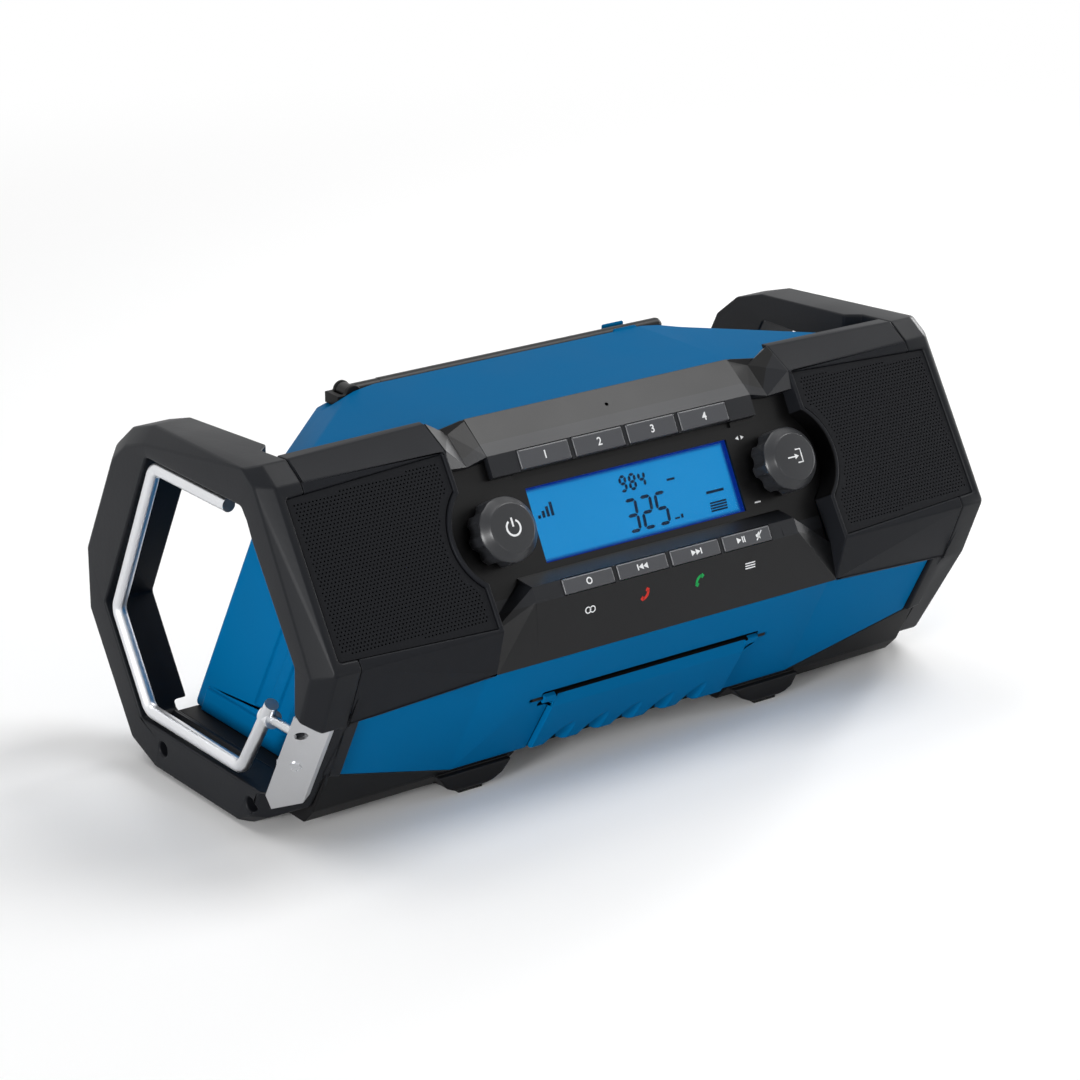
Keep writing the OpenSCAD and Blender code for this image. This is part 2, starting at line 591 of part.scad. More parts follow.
// Antenna: forked base on the ledge, pin, and the rod with its knuckle.
module antenna_base() color(black) difference() {
    union() {
        box([antenna_x - 8, ledge_y, ledge_z], [antenna_x + 6, ledge_back_y + 0.5, rod_z + 0.5]);
        translate([antenna_x, 0, rod_z]) rod_y(ledge_y, ledge_back_y + 0.5, 4);
    }
    box([antenna_x - 5, rod_y - 3 - gap, ledge_z + 0.4], [antenna_x + 20, rod_y + 3 + gap, 170]);
    translate([antenna_x, 0, rod_z]) rod_y(ledge_y + 0.6, ledge_back_y, 1.25);
}
module antenna_pin() color(steel) translate([antenna_x, 0, rod_z]) rod_y(ledge_y + 0.6, ledge_back_y, 1.25 - pin_gap / 2);
module antenna_rod() color(black) difference() {
    union() {
        translate([antenna_x, 0, rod_z]) rod_y(rod_y - 3, rod_y + 3, 3.6);
        translate([0, rod_y, rod_z]) rod_x(antenna_x + 1, antenna_x + 16, 3);
        translate([0, rod_y, rod_z]) rod_x(antenna_x + 16, antenna_x + rod_length - 3, rod_d / 2);
        translate([antenna_x + rod_length - 3, rod_y, rod_z]) sphere(r = rod_d / 2, $fn = round_fn);
    }
    translate([antenna_x, 0, rod_z]) rod_y(20, 40, 1.25 + pin_gap / 2);
}

// Steel hook: a wire bent round the ring's hole, with an eye for its pin.
// The path lies in a plane across the length; every corner is a true bend.
function turn(i) = let (u = hook_path[i] - hook_path[i - 1], v = hook_path[i + 1] - hook_path[i])
    atan2(u[0] * v[1] - u[1] * v[0], u * v);
function bend_reach(i) = (i == 0 || i == len(hook_path) - 1) ? 0 : hook_bend * tan(turn(i) / 2);
function heading(i) = let (u = hook_path[i + 1] - hook_path[i]) atan2(u[1], u[0]);
module wire_straight(i) let (a = hook_path[i], h = heading(i), d = norm(hook_path[i + 1] - a))
    translate([a[0], a[1], 0]) rotate([0, 0, h]) translate([bend_reach(i), 0, 0]) rotate([0, 90, 0])
        translate([0, 0, -bend_overlap]) cylinder(h = d - bend_reach(i) - bend_reach(i + 1) + 2 * bend_overlap,
            r = wire_d / 2 - 0.02, $fn = round_fn);
module wire_bend(i) let (a = hook_path[i], h = heading(i - 1))
    translate([a[0], a[1], 0]) rotate([0, 0, h]) translate([-bend_reach(i), hook_bend, 0]) rotate([0, 0, -90])
        rotate_extrude(angle = turn(i), $fn = round_fn * 2) translate([hook_bend, 0]) circle(r = wire_d / 2, $fn = round_fn);
module hook_wire() color(steel) difference() {
    union() {
        translate([hook_x, 0, 0]) rotate([90, 0, 90]) {
            for (i = [0 : len(hook_path) - 2]) wire_straight(i);
            for (i = [1 : len(hook_path) - 2]) wire_bend(i);
        }
        translate([hook_axis[0], 0, hook_axis[1]]) rod_y(-52, -45.5, 3.9);
    }
    translate([hook_axis[0], 0, hook_axis[1]]) rod_y(-60, -40, hook_pin_d / 2 + pin_gap);
}
module hook_pin() color(steel) translate([hook_axis[0], 0, hook_axis[1]]) rod_y(hook_pin_y[0], hook_pin_y[1], hook_pin_d / 2);

// Bracket plate on the leg's slanted seat, folded round the edge of the hole.
// In its own frame x runs down the leg, y towards the front and z out of the seat.
module on_seat() translate([-half + 1.2, -73.3, 64.6]) rotate([0, seat_rise, seat_azimuth]) rotate([0, 90, 0])
    rotate([0, 0, -20.3]) children();
module hook_bracket() color(steel) difference() {
    union() {
        // plate with its front edge turned back, cut to the leg's outline
        on_seat() intersection() {
            rotate([90, 0, 90]) linear_extrude(60) polygon([[-0.3, 0], [16.4, 0], [16.4, 0.3], [15, sheet], [-0.3, sheet]]);
            linear_extrude(sheet) polygon([[0.3, 0.1], [0.3, 16.4], [43, 16.4], [48, 15], [57.5, 3.8], [50.5, -0.3], [4, -0.3]]);
        }
        // fold on the hole's inner wall that holds the pin, and the stop tab below it
        prism_x([[-73.59, 63], [-71.8, 63], [-57.6, 37.6], [-59.39, 37.6]], -half + 1.2, -seam_x - 6);
        prism_x([[-59.39, 37.6], [-58.72, 36.4], [-55, 36.4], [-55, 38], [-57.6, 38], [-57.83, 38]], -half + 3, -half + 7);
    }
    translate([hook_axis[0], 0, hook_axis[1]]) rod_y(-80, -60, hook_pin_d / 2);
    on_seat() translate([rivet_place[0], rivet_place[1], -4]) cylinder(h = 8, r = rivet_d / 2 + pin_gap, $fn = round_fn);
}
module bracket_rivets() color(steel) on_seat() translate([rivet_place[0], rivet_place[1], 0]) {
    translate([0, 0, -rivet_depth]) cylinder(h = rivet_depth + sheet, r = rivet_d / 2, $fn = round_fn);
    translate([0, 0, sheet]) cylinder(h = 0.6, r = rivet_d * 0.8, $fn = round_fn);
}

// Spring catch under the top bar that holds the hook in.
module hook_catch() color(black) difference() {
    box([-half + 6.5, -9, 134], [-seam_x - 2, 9, 142]);
    box([-half + 9, -20, 133], [-seam_x - 4, 20, 138.5]);
}

// Compartment door with ears on its hinge and five slanted finger scoops.
module compartment_door() color(blue) on_under() difference() {
    union() {
        rotate([90, 0, 90]) translate([0, 0, -door_half]) linear_extrude(2 * door_half) polygon([[door_bottom, -3],
            [door_bottom, 1], [door_bottom + 1.5, 2.4], [hinge_s - 5, 2.4], [door_top, 0.4], [door_top, -3]]);
        both() box([door_half - 1, hinge_s - 2.1, -3], [ear_half, hinge_s + 2.1, 1.5]);
    }
    for (i = [-2 : 2]) translate([i * 18 - 4, door_bottom, 4.9]) rotate([-76, 0, -25]) translate([0, 0, -12])
        cylinder(h = 40, r = 6, $fn = round_fn);
    translate([0, hinge_s, hinge_w]) both() rod_x(door_half - 1.5, ear_half + 1, door_pin_d / 2 + pin_gap);
}
module door_pins() color(steel) on_under() translate([0, hinge_s, hinge_w]) both() rod_x(door_half - 1, ear_half + 5, door_pin_d / 2);

// Tray behind the door, with the backup cells and their contacts.
module tray_form(t, x) prism_x([[under_y(16) + 4.5, 16 + t], [under_y(38) + 4.5, 38 - t], [-38 - t, 38 - t], [-38 - t, 16 + t]], -x, x);
module compartment_tray() color(black) difference() {
    tray_form(0, 48);
    intersection() {
        translate([0, -0.01, 0]) tray_form(2, 46);
        box([-46, -80, 0], [46, 0, 60]);
    }
    prism_x([[-90, 18], [-90, 36], [-45, 36], [-45, 18]], -44, 44);
}
module backup_cells() color([0.7, 0.55, 0.2]) both() translate([0, -46, 24.3]) rod_x(0.4, 44, 5.2);
module cell_contacts() color(steel) both() box([44, -50, 19], [46, -42, 30]);

// Battery dock: tub in the rear with guide ribs, terminal block and blades.
module battery_dock() color(black) difference() {
    intersection() {
        box([-dock_half, dock_front_y, dock_low_z], [dock_half, 100, dock_high_z]);
        prism_x(house_outline, -100, 100);
    }
    difference() {
        box([-dock_half + wall, dock_front_y + wall, dock_low_z + wall], [dock_half - wall, 100, dock_high_z - wall]);
        both() box([dock_half - wall - 3, dock_front_y, 60], [dock_half, 56, 66]);
    }
}
module dock_terminal_block() color(charcoal) box([-18, dock_front_y + wall, 50], [18, dock_front_y + wall + 7, 76]);
module dock_terminals() color([0.8, 0.6, 0.3]) for (x = [-12, -4, 4, 12])
    box([x - 0.6, dock_front_y + wall + 7, 54], [x + 0.6, dock_front_y + wall + 15, 72]);

// Main board standing in the pan, with its taller components.
module main_board() color([0.05, 0.3, 0.15]) {
    box([-70, 2, pan_bottom_z + wall], [70, 3.6, 92]);
    for (x = [-45, -25, 30]) translate([x, 0, 60]) rod_y(3.5, 18, 5);
    box([-10, -8, 30], [20, 2.1, 70]);
}

// Rear port: rubber flap over the DC and AUX jacks.
module port_flap() color(black) difference() {
    union() {
        box([port_x[0] + gap, rear_face_y - 2, port_hinge_z], [port_x[1] - gap, rear_face_y, port_z[1] - gap]);
        translate([0, rear_face_y - 1, port_hinge_z]) rod_x(port_x[0] + gap, port_x[1] - gap, 1);
    }
    // finger notch
    translate([77, rear_face_y + 2, port_z[1]]) sphere(r = 4, $fn = round_fn);
}
module jack(x, r_out, r_in) translate([x, 0, jack_z]) difference() {
    union() {
        rod_y(54, 62.5, r_out);
        rod_y(51, 54, r_out + 1.5);
    }
    rod_y(53, 63, r_in);
}
module dc_jack() color(charcoal) jack(dc_x, 4, 2.75);
module aux_jack() color(charcoal) jack(aux_x, 3, 1.8);

upper_housing();
lower_housing();
base_pan();
rubber_feet();
left_end_frame();
right_end_frame();
end_frame_screws();
left_speaker_frame();
right_speaker_frame();
console();
left_grille();
right_grille();
left_speaker_basket();
right_speaker_basket();
left_speaker_cone();
right_speaker_cone();
left_speaker_magnet();
right_speaker_magnet();
display_lens();
display_panel();
display_backlight();
preset_button_1();
preset_button_2();
preset_button_3();
preset_button_4();
link_button();
previous_button();
next_button();
play_button();
button_board();
button_switches();
microphone();
volume_knob();
tuning_knob();
volume_shaft();
tuning_shaft();
volume_plunger();
tuning_plunger();
volume_encoder();
tuning_encoder();
antenna_base();
antenna_pin();
antenna_rod();
hook_wire();
hook_pin();
hook_bracket();
bracket_rivets();
hook_catch();
compartment_door();
door_pins();
compartment_tray();
backup_cells();
cell_contacts();
battery_dock();
dock_terminal_block();
dock_terminals();
main_board();
port_flap();
dc_jack();
aux_jack();
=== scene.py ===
"""Jobsite radio: blue housing, black faceted end frames, leaning speaker front and recessed console.

Lengths are millimetres in the arrays and metres in the meshes. +X runs along the length, +Y to the rear.
"""
from math import radians, sin, cos, tan, pi
import json
import bpy
import numpy as np
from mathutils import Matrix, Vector
from mathutils.geometry import delaunay_2d_cdt

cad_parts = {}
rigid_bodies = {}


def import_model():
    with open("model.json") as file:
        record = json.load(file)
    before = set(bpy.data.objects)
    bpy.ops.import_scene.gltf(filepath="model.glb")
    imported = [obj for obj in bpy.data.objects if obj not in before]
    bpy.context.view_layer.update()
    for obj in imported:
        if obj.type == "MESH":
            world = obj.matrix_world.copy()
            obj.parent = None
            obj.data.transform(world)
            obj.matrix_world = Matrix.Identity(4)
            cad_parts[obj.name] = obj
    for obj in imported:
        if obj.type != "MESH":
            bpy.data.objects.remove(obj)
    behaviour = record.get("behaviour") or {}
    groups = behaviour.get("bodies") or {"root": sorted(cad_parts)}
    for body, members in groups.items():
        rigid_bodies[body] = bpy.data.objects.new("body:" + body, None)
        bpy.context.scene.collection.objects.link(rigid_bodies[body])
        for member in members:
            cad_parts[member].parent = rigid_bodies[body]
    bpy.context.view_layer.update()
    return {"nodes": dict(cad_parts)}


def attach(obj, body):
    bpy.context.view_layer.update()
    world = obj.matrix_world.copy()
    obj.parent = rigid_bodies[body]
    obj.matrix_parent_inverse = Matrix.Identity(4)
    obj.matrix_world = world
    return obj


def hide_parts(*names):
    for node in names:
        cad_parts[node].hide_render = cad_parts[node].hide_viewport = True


for thing in list(bpy.data.objects):
    bpy.data.objects.remove(thing)
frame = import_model()
part = frame["nodes"]

# ---- studio -------------------------------------------------------------------------------------------
# The radio stands on a pale sweep between soft boxes, the strongest low on the left and a narrow one on the
# right that grazes the brow. The lens is a long one, as for a catalogue picture.
def shader(material, kind, sockets=None, **settings):
    """A shader node of that kind. A socket takes a plain value or the output of another node."""
    new = material.node_tree.nodes.new("ShaderNode" + kind)
    for key, value in settings.items():
        setattr(new, key, value)
    for key, value in (sockets or {}).items():
        if isinstance(value, bpy.types.NodeSocket):
            material.node_tree.links.new(value, new.inputs[key])
        else:
            new.inputs[key].default_value = value
    return new


def soft_box(name, place, target, size, watts):
    """A soft box of that width and height at a place in metres, turned towards its target."""
    lamp = bpy.data.lights.new(name, "AREA")
    lamp.shape, lamp.size, lamp.size_y, lamp.energy = "RECTANGLE", size[0], size[1], watts
    holder = bpy.data.objects.new(name, lamp)
    bpy.context.collection.objects.link(holder)
    holder.location = place
    aim = Vector(target) - Vector(place)
    holder.rotation_euler = aim.to_track_quat("-Z", "Y").to_euler()


def seen_ray(material):
    """One for a ray from the lens, from a reflection or through clear glass, and zero for soft light."""
    ray = shader(material, "LightPath")
    direct = shader(material, "Math", {0: ray.outputs["Is Camera Ray"], 1: ray.outputs["Is Glossy Ray"]},
                    operation="MAXIMUM")
    return shader(material, "Math", {0: direct.outputs[0], 1: ray.outputs["Is Transmission Ray"]},
                  operation="MAXIMUM").outputs[0]


soft_box("key_box", (0.75, -0.2, 1.5), (0.0, -0.02, 0.1), (0.8, 0.8), 14)
soft_box("top_box", (-0.25, 0.75, 1.5), (0.0, 0.0, 0.1), (1.3, 0.9), 8)
soft_box("front_box", (0.15, -2.0, 0.6), (0.0, -0.05, 0.05), (0.5, 0.5), 4)
soft_box("left_box", (-1.75, -0.65, 0.35), (0.0, -0.05, 0.05), (0.5, 0.5), 27)
soft_box("right_box", (1.75, -0.65, 0.35), (0.0, -0.05, 0.05), (0.5, 0.5), 8)
soft_box("right_strip", (1.6, 0.5, 0.55), (0.0, -0.04, 0.13), (0.2, 0.4), 10)

sky = bpy.data.worlds.new("studio_sky")
bpy.context.scene.world = sky
sky.use_nodes = True
sky.node_tree.nodes.clear()
level = shader(sky, "Mix", {0: seen_ray(sky), 2: 0.2, 3: 1.0}, data_type="FLOAT")
glow = shader(sky, "Background", {"Color": (1.0, 1.0, 1.0, 1.0), "Strength": level.outputs[0]})
shader(sky, "OutputWorld", {0: glow.outputs[0]})

sweep_mesh = bpy.data.meshes.new("sweep")
sweep_half = 9.0
sweep_mesh.from_pydata([(-sweep_half, -sweep_half, 0), (sweep_half, -sweep_half, 0), (sweep_half, sweep_half, 0),
                        (-sweep_half, sweep_half, 0)], [], [(0, 1, 2, 3)])
sweep = bpy.data.objects.new("sweep", sweep_mesh)
bpy.context.collection.objects.link(sweep)
paper = bpy.data.materials.new("sweep_paper")
paper.use_nodes = True
paper_shader = paper.node_tree.nodes["Principled BSDF"]
paper_shader.inputs["Base Color"].default_value = (0.96, 0.96, 0.96, 1)
paper_shader.inputs["Roughness"].default_value = 0.9
# beyond the shadow the lens sees plain white
away = shader(paper, "VectorMath", {0: shader(paper, "TexCoord").outputs["Object"]}, operation="LENGTH")
far = shader(paper, "MapRange", {0: away.outputs["Value"], 1: 0.4, 2: 1.3}, interpolation_type="SMOOTHSTEP")
share = shader(paper, "Math", {0: far.outputs[0], 1: seen_ray(paper)}, operation="MULTIPLY")
white = shader(paper, "Emission", {"Color": (1, 1, 1, 1), "Strength": 1.0})
mixed = shader(paper, "MixShader", {0: share.outputs[0], 1: paper_shader.outputs[0], 2: white.outputs[0]})
paper.node_tree.links.new(mixed.outputs[0], paper.node_tree.nodes["Material Output"].inputs["Surface"])
sweep_mesh.materials.append(paper)

lens = bpy.data.cameras.new("catalogue_lens")
lens.lens, lens.sensor_width = 112.3, 36
lens.clip_end = 60
camera = bpy.data.objects.new("catalogue_lens", lens)
bpy.context.collection.objects.link(camera)
camera.location = (-0.8293, -1.1165, 0.5911)
camera.rotation_euler = (radians(90 - 20.27), 0, radians(-36.53))
bpy.context.scene.camera = camera
bpy.context.scene.view_settings.view_transform = "Standard"


# ---- blue housing -------------------------------------------------------------------------------------
# Top shell and lower front, injection moulded in blue ABS with a fine spark-eroded grain.
# The two halves meet at the black lip and are screwed to the base pan from below.
def moulded(name, colour, rough, grain=2400, depth=0.05, mottle=0.07, sheen=0.14):
    """A moulded plastic: one broad noise shifts the colour between two near tones, a second shifts the
    roughness, and two fine ones added together raise the grain of the tool."""
    plastic = bpy.data.materials.new(name)
    plastic.use_nodes = True
    surface = plastic.node_tree.nodes["Principled BSDF"]
    place = shader(plastic, "TexCoord").outputs["Object"]
    broad = shader(plastic, "TexNoise", {"Vector": place, "Scale": 14, "Detail": 3, "Roughness": 0.6})
    tone = shader(plastic, "Mix", {0: broad.outputs["Fac"],
                                   6: (*[c * (1 - mottle) for c in colour], 1),
                                   7: (*[min(1, c * (1 + mottle)) for c in colour], 1)}, data_type="RGBA")
    fine = shader(plastic, "TexNoise", {"Vector": place, "Scale": grain, "Detail": 1.5, "Roughness": 0.55})
    soft = shader(plastic, "TexNoise", {"Vector": place, "Scale": grain * 0.28, "Detail": 1})
    both_grains = shader(plastic, "Math", {0: fine.outputs["Fac"], 1: 0.35, 2: soft.outputs["Fac"]},
                         operation="MULTIPLY_ADD")
    bump = shader(plastic, "Bump", {"Strength": 0.35, "Distance": depth / 1000, "Height": both_grains.outputs[0]})
    gloss = shader(plastic, "MapRange", {0: broad.outputs["Fac"], 1: 0.3, 2: 0.7, 3: rough - 0.04, 4: rough + 0.04})
    for socket, output in (("Base Color", tone.outputs[2]), ("Roughness", gloss.outputs[0]),
                           ("Normal", bump.outputs[0])):
        plastic.node_tree.links.new(output, surface.inputs[socket])
    surface.inputs["Specular IOR Level"].default_value = sheen
    return plastic


smooth_group = bpy.data.node_groups.new("smooth_faces", "GeometryNodeTree")
smooth_group.interface.new_socket("Geometry", in_out="INPUT", socket_type="NodeSocketGeometry")
smooth_group.interface.new_socket("Geometry", in_out="OUTPUT", socket_type="NodeSocketGeometry")
group_in, group_out = smooth_group.nodes.new("NodeGroupInput"), smooth_group.nodes.new("NodeGroupOutput")
set_smooth = smooth_group.nodes.new("GeometryNodeSetShadeSmooth")
smooth_group.links.new(group_in.outputs[0], set_smooth.inputs["Geometry"])
smooth_group.links.new(set_smooth.outputs[0], group_out.inputs[0])


def soften(name, width):
    """Rounds the edges of a moulding: edges sharper than 14 degrees get a round of that width in millimetres,
    and the normals of the large faces win over those of the rounds."""
    piece = part[name]
    weld = piece.modifiers.new("one_skin", "WELD")
    weld.merge_threshold = 2e-6
    piece.modifiers.new("smooth_faces", "NODES").node_group = smooth_group
    edge = piece.modifiers.new("edge_round", "BEVEL")
    edge.limit_method, edge.angle_limit = "ANGLE", radians(14)
    edge.width, edge.segments, edge.use_clamp_overlap = width / 1000, 2, False
    edge.miter_outer, edge.loop_slide = "MITER_ARC", False
    normals = piece.modifiers.new("face_normals", "WEIGHTED_NORMAL")
    normals.weight, normals.keep_sharp = 100, False


def finish_with(material, *names):
    """Puts a material on every slot of the named CAD nodes."""
    for name in names:
        for place in part[name].material_slots:
            place.material = material


def plane_axes(material, foot, lean):
    """Outputs that give |x|, s up and w out of a leaning plane for a point, in metres, from the Object
    coordinates: foot is a (y, z) on the plane and lean its angle from upright, in degrees."""
    place = shader(material, "TexCoord").outputs["Object"]
    lean = radians(lean)
    x = shader(material, "Math", {0: shader(material, "SeparateXYZ", {0: place}).outputs[0]}, operation="ABSOLUTE")
    found = [x.outputs[0]]
    for way in ((0, sin(lean), cos(lean)), (0, -cos(lean), sin(lean))):
        share = shader(material, "VectorMath", {0: place, 1: way}, operation="DOT_PRODUCT").outputs["Value"]
        zero = foot[0] * way[1] + foot[1] * way[2]
        found.append(shader(material, "Math", {0: share, 1: zero}, operation="SUBTRACT").outputs[0])
    return found


def all_of(material, *tests):
    """One where every (output, comparison, level) holds."""
    found = None
    for value, compare, level in tests:
        test = shader(material, "Math", {0: value, 1: level}, operation=compare).outputs[0]
        if found is not None:
            test = shader(material, "Math", {0: found, 1: test}, operation="MULTIPLY").outputs[0]
        found = test
    return found


def paint_shade(material, mask, colour=(0.002, 0.002, 0.0022)):
    """Paints shade: turns the base colour to a near black where the mask is one."""
    surface = material.node_tree.nodes["Principled BSDF"]
    before = surface.inputs["Base Color"].links[0].from_socket
    mixed = shader(material, "Mix", {0: mask, 6: before, 7: (*colour, 1)}, data_type="RGBA")
    material.node_tree.links.new(mixed.outputs[2], surface.inputs["Base Color"])


# each plane is given by a (y, z) on it, in metres, and its lean from upright in degrees
console_frame = ((-0.074, 0.1011), 28)
lower_frame = ((-0.091, 0.066), -31.725)
knob_x, knob_s = 75.0, 16.5
blue = moulded("blue_housing_plastic", (0.0004, 0.104, 0.258), 0.45, sheen=0.012)
finish_with(blue, "upper_housing", "lower_housing", "compartment_door", "port_flap")
# painted shade: the floor of the door's pocket and the slit above the door are painted near black
x, s, w = plane_axes(blue, *lower_frame)
paint_shade(blue, all_of(blue, (x, "LESS_THAN", 0.0585), (s, "LESS_THAN", -0.0235), (s, "GREATER_THAN", -0.066),
                     (w, "LESS_THAN", -0.0004), (w, "GREATER_THAN", -0.006)))
paint_shade(blue, all_of(blue, (x, "LESS_THAN", 0.0522), (s, "LESS_THAN", -0.0242), (s, "GREATER_THAN", -0.0264),
                     (w, "LESS_THAN", 0.003), (w, "GREATER_THAN", -0.006)))
soften("upper_housing", 0.8)
soften("lower_housing", 0.8)

# ---- base pan and feet --------------------------------------------------------------------------------
# Black glass-filled pan that carries the end frames; rubber pads are pressed under its two feet.
black = moulded("black_pan_plastic", (0.004, 0.004, 0.0045), 0.5)
finish_with(black, "base_pan")
soften("base_pan", 0.8)
rubber = moulded("foot_rubber", (0.006, 0.006, 0.006), 0.75, depth=0.08)
finish_with(rubber, "rubber_feet")

# ---- end frames ---------------------------------------------------------------------------------------
# Roll-bar rings of hard plastic with a soft black overmould, screwed to the pan through the bottom bar.
overmould = moulded("black_overmould", (0.006, 0.0067, 0.0085), 0.44, grain=1700, depth=0.07, sheen=0.13)
finish_with(overmould, "left_end_frame", "right_end_frame")
soften("left_end_frame", 1.0)
soften("right_end_frame", 1.0)


def metal(name, colour, rough, stretch=(1, 1, 1), streak=0.12, scale=900):
    """Bare or plated metal: a noise drawn out along one axis scratches its roughness and its normal."""
    steel = bpy.data.materials.new(name)
    steel.use_nodes = True
    surface = steel.node_tree.nodes["Principled BSDF"]
    surface.inputs["Metallic"].default_value = 1.0
    place = shader(steel, "TexCoord").outputs["Object"]
    drawn = shader(steel, "Mapping", {"Vector": place, "Scale": stretch})
    lines = shader(steel, "TexNoise", {"Vector": drawn.outputs[0], "Scale": scale, "Detail": 2})
    cloud = shader(steel, "TexNoise", {"Vector": place, "Scale": 60, "Detail": 2})
    tone = shader(steel, "Mix", {0: cloud.outputs["Fac"], 6: (*[c * 0.93 for c in colour], 1), 7: (*colour, 1)},
                  data_type="RGBA")
    gloss = shader(steel, "MapRange", {0: lines.outputs["Fac"], 1: 0.25, 2: 0.75, 3: rough - streak / 2,
                                       4: rough + streak / 2})
    bump = shader(steel, "Bump", {"Strength": 0.25, "Distance": 0.00002, "Height": lines.outputs["Fac"]})
    for socket, output in (("Base Color", tone.outputs[2]), ("Roughness", gloss.outputs[0]),
                           ("Normal", bump.outputs[0])):
        steel.node_tree.links.new(output, surface.inputs[socket])
    return steel


plated = metal("plated_steel", (0.62, 0.63, 0.65), 0.3)
finish_with(plated, "end_frame_screws")

# ---- speaker frames -----------------------------------------------------------------------------------
# Charcoal surrounds of the speakers, clipped between the console and the rings, with the knob cups
# cut into their inner edges.
charcoal = moulded("charcoal_frame_plastic", (0.0095, 0.0103, 0.0125), 0.42, sheen=0.07)
# painted shade: the wall of the knob's cup is painted near black where the distance to the knob's axis is under 25.4 mm
x, s, w = plane_axes(charcoal, *console_frame)
off_x = shader(charcoal, "Math", {0: x, 1: knob_x / 1000}, operation="SUBTRACT").outputs[0]
off_s = shader(charcoal, "Math", {0: s, 1: knob_s / 1000}, operation="SUBTRACT").outputs[0]
reach = shader(charcoal, "VectorMath", {0: shader(charcoal, "CombineXYZ", {0: off_x, 1: off_s}).outputs[0]},
               operation="LENGTH").outputs["Value"]
paint_shade(charcoal, shader(charcoal, "Math", {0: reach, 1: 0.0254}, operation="LESS_THAN").outputs[0])
finish_with(charcoal, "left_speaker_frame", "right_speaker_frame")
soften("left_speaker_frame", 0.7)
soften("right_speaker_frame", 0.7)


# ---- speaker grilles ----------------------------------------------------------------------------------
# Punched steel sheet, powder coated black, with small round holes in staggered rows and a plain border.
# The inner edge is cut round the knob's cup.
front_y, front_z, front_lean = -96.5, 87, radians(32)
console_y, console_z, console_lean = -74, 101.1, radians(28)


def front_plane(x, s, w):
    """Row-frame points of the leaning front: s runs up the plane, w out of it, both in millimetres."""
    return np.stack([x, front_y + s * sin(front_lean) - w * cos(front_lean),
                     front_z + s * cos(front_lean) + w * sin(front_lean)], -1)


def piece_from(name, points, faces, body, material, smooth=True):
    """A mesh piece from points in millimetres and a list of faces, riding on a body."""
    mesh = bpy.data.meshes.new(name)
    mesh.from_pydata((np.asarray(points, float) / 1000).tolist(), [], [list(map(int, f)) for f in faces])
    mesh.update()
    mesh.polygons.foreach_set("use_smooth", np.full(len(mesh.polygons), smooth))
    mesh.materials.append(material)
    made = bpy.data.objects.new(name, mesh)
    bpy.context.collection.objects.link(made)
    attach(made, body)
    return made


def sheet_with_holes(outline, centres, radius, sides):
    """A flat sheet inside an outline, less round holes: the triangles between the outline and the holes, as
    (points in the plane, triangles)."""
    turn = np.arange(sides) * 2 * pi / sides + pi / sides
    ring = np.stack([np.cos(turn), np.sin(turn)], -1) * radius
    points = np.concatenate([outline, (centres[:, None, :] + ring[None]).reshape(-1, 2)])
    n = len(outline)
    rim = np.stack([np.arange(n), (np.arange(n) + 1) % n], -1)
    first = n + np.arange(len(centres))[:, None] * sides
    hole = np.stack([first + np.arange(sides), first + (np.arange(sides) + 1) % sides], -1).reshape(-1, 2)
    edges = np.concatenate([rim, hole])
    found, _, triangles, *_ = delaunay_2d_cdt([Vector(p) for p in points], [tuple(map(int, e)) for e in edges], [],
                                              1, 1e-5)
    found = np.array([tuple(p) for p in found])
    triangles = np.array(triangles)
    middle = found[triangles].mean(1)
    keep = np.ones(len(triangles), bool)
    for start in range(0, len(triangles), 4000):
        gap = np.linalg.norm(middle[start:start + 4000, None] - centres[None], axis=2).min(1)
        keep[start:start + 4000] = gap > radius * cos(pi / sides) * 0.98
    return found, triangles[keep]


def grille_outline(side):
    """The four-sided outline, with its two inner corners joined by the arc round the knob's cup."""
    cup_r, sheet_w = 27.8, -1.8
    # the cup's circle lies in the console's plane, and its foot on the front plane is an ellipse
    turn = np.linspace(-pi / 2, pi / 2, 49)
    s_console, x = knob_s + cup_r * np.sin(turn), knob_x + cup_r * np.cos(turn)
    # height on the front plane of a line square to the console through (x, s_console)
    y0 = console_y + s_console * sin(console_lean) - front_y
    z0 = console_z + s_console * cos(console_lean) - front_z
    along_y, along_z = -cos(console_lean), sin(console_lean)
    # the line (y0, z0) + t (along) meets the sheet where its part out of the front is the sheet's own
    t = ((sheet_w - (-y0 * cos(front_lean) + z0 * sin(front_lean)))
         / (-along_y * cos(front_lean) + along_z * sin(front_lean)))
    s = (y0 + t * along_y) * sin(front_lean) + (z0 + t * along_z) * cos(front_lean)
    inside = (x > 93.3) & (s > 1.8) & (s < 76.2)
    arc = np.stack([x[inside], s[inside]], -1)
    low, high = arc[0], arc[-1]
    corners_low = [] if low[1] < 2.6 else [[93.3, 1.9]]
    corners_high = [] if high[1] > 75.4 else [[93.3, 76.2]]
    outline = np.array([*corners_low, *arc.tolist(), *corners_high, [168.5, 72.7], [168.5, 5.25]])
    outline[:, 0] *= side
    return outline


def distance_to(points, outline):
    """The shortest distance of each point to the closed outline."""
    a, b = outline, np.roll(outline, -1, 0)
    along = b - a
    share = ((points[:, None] - a) * along).sum(2) / (along ** 2).sum(1)
    near = a + np.clip(share, 0, 1)[..., None] * along
    return np.linalg.norm(points[:, None] - near, axis=2).min(1)


def inside_of(points, outline):
    """Whether each point lies within the outline, by counting the edges to its right."""
    a, b = outline, np.roll(outline, -1, 0)
    x, y = points[:, None, 0], points[:, None, 1]
    straddles = (a[:, 1] > y) != (b[:, 1] > y)
    crossing = (b[:, 0] - a[:, 0]) * (y - a[:, 1]) / (b[:, 1] - a[:, 1] + 1e-12) + a[:, 0]
    return ((x < crossing) & straddles).sum(1) % 2 == 1


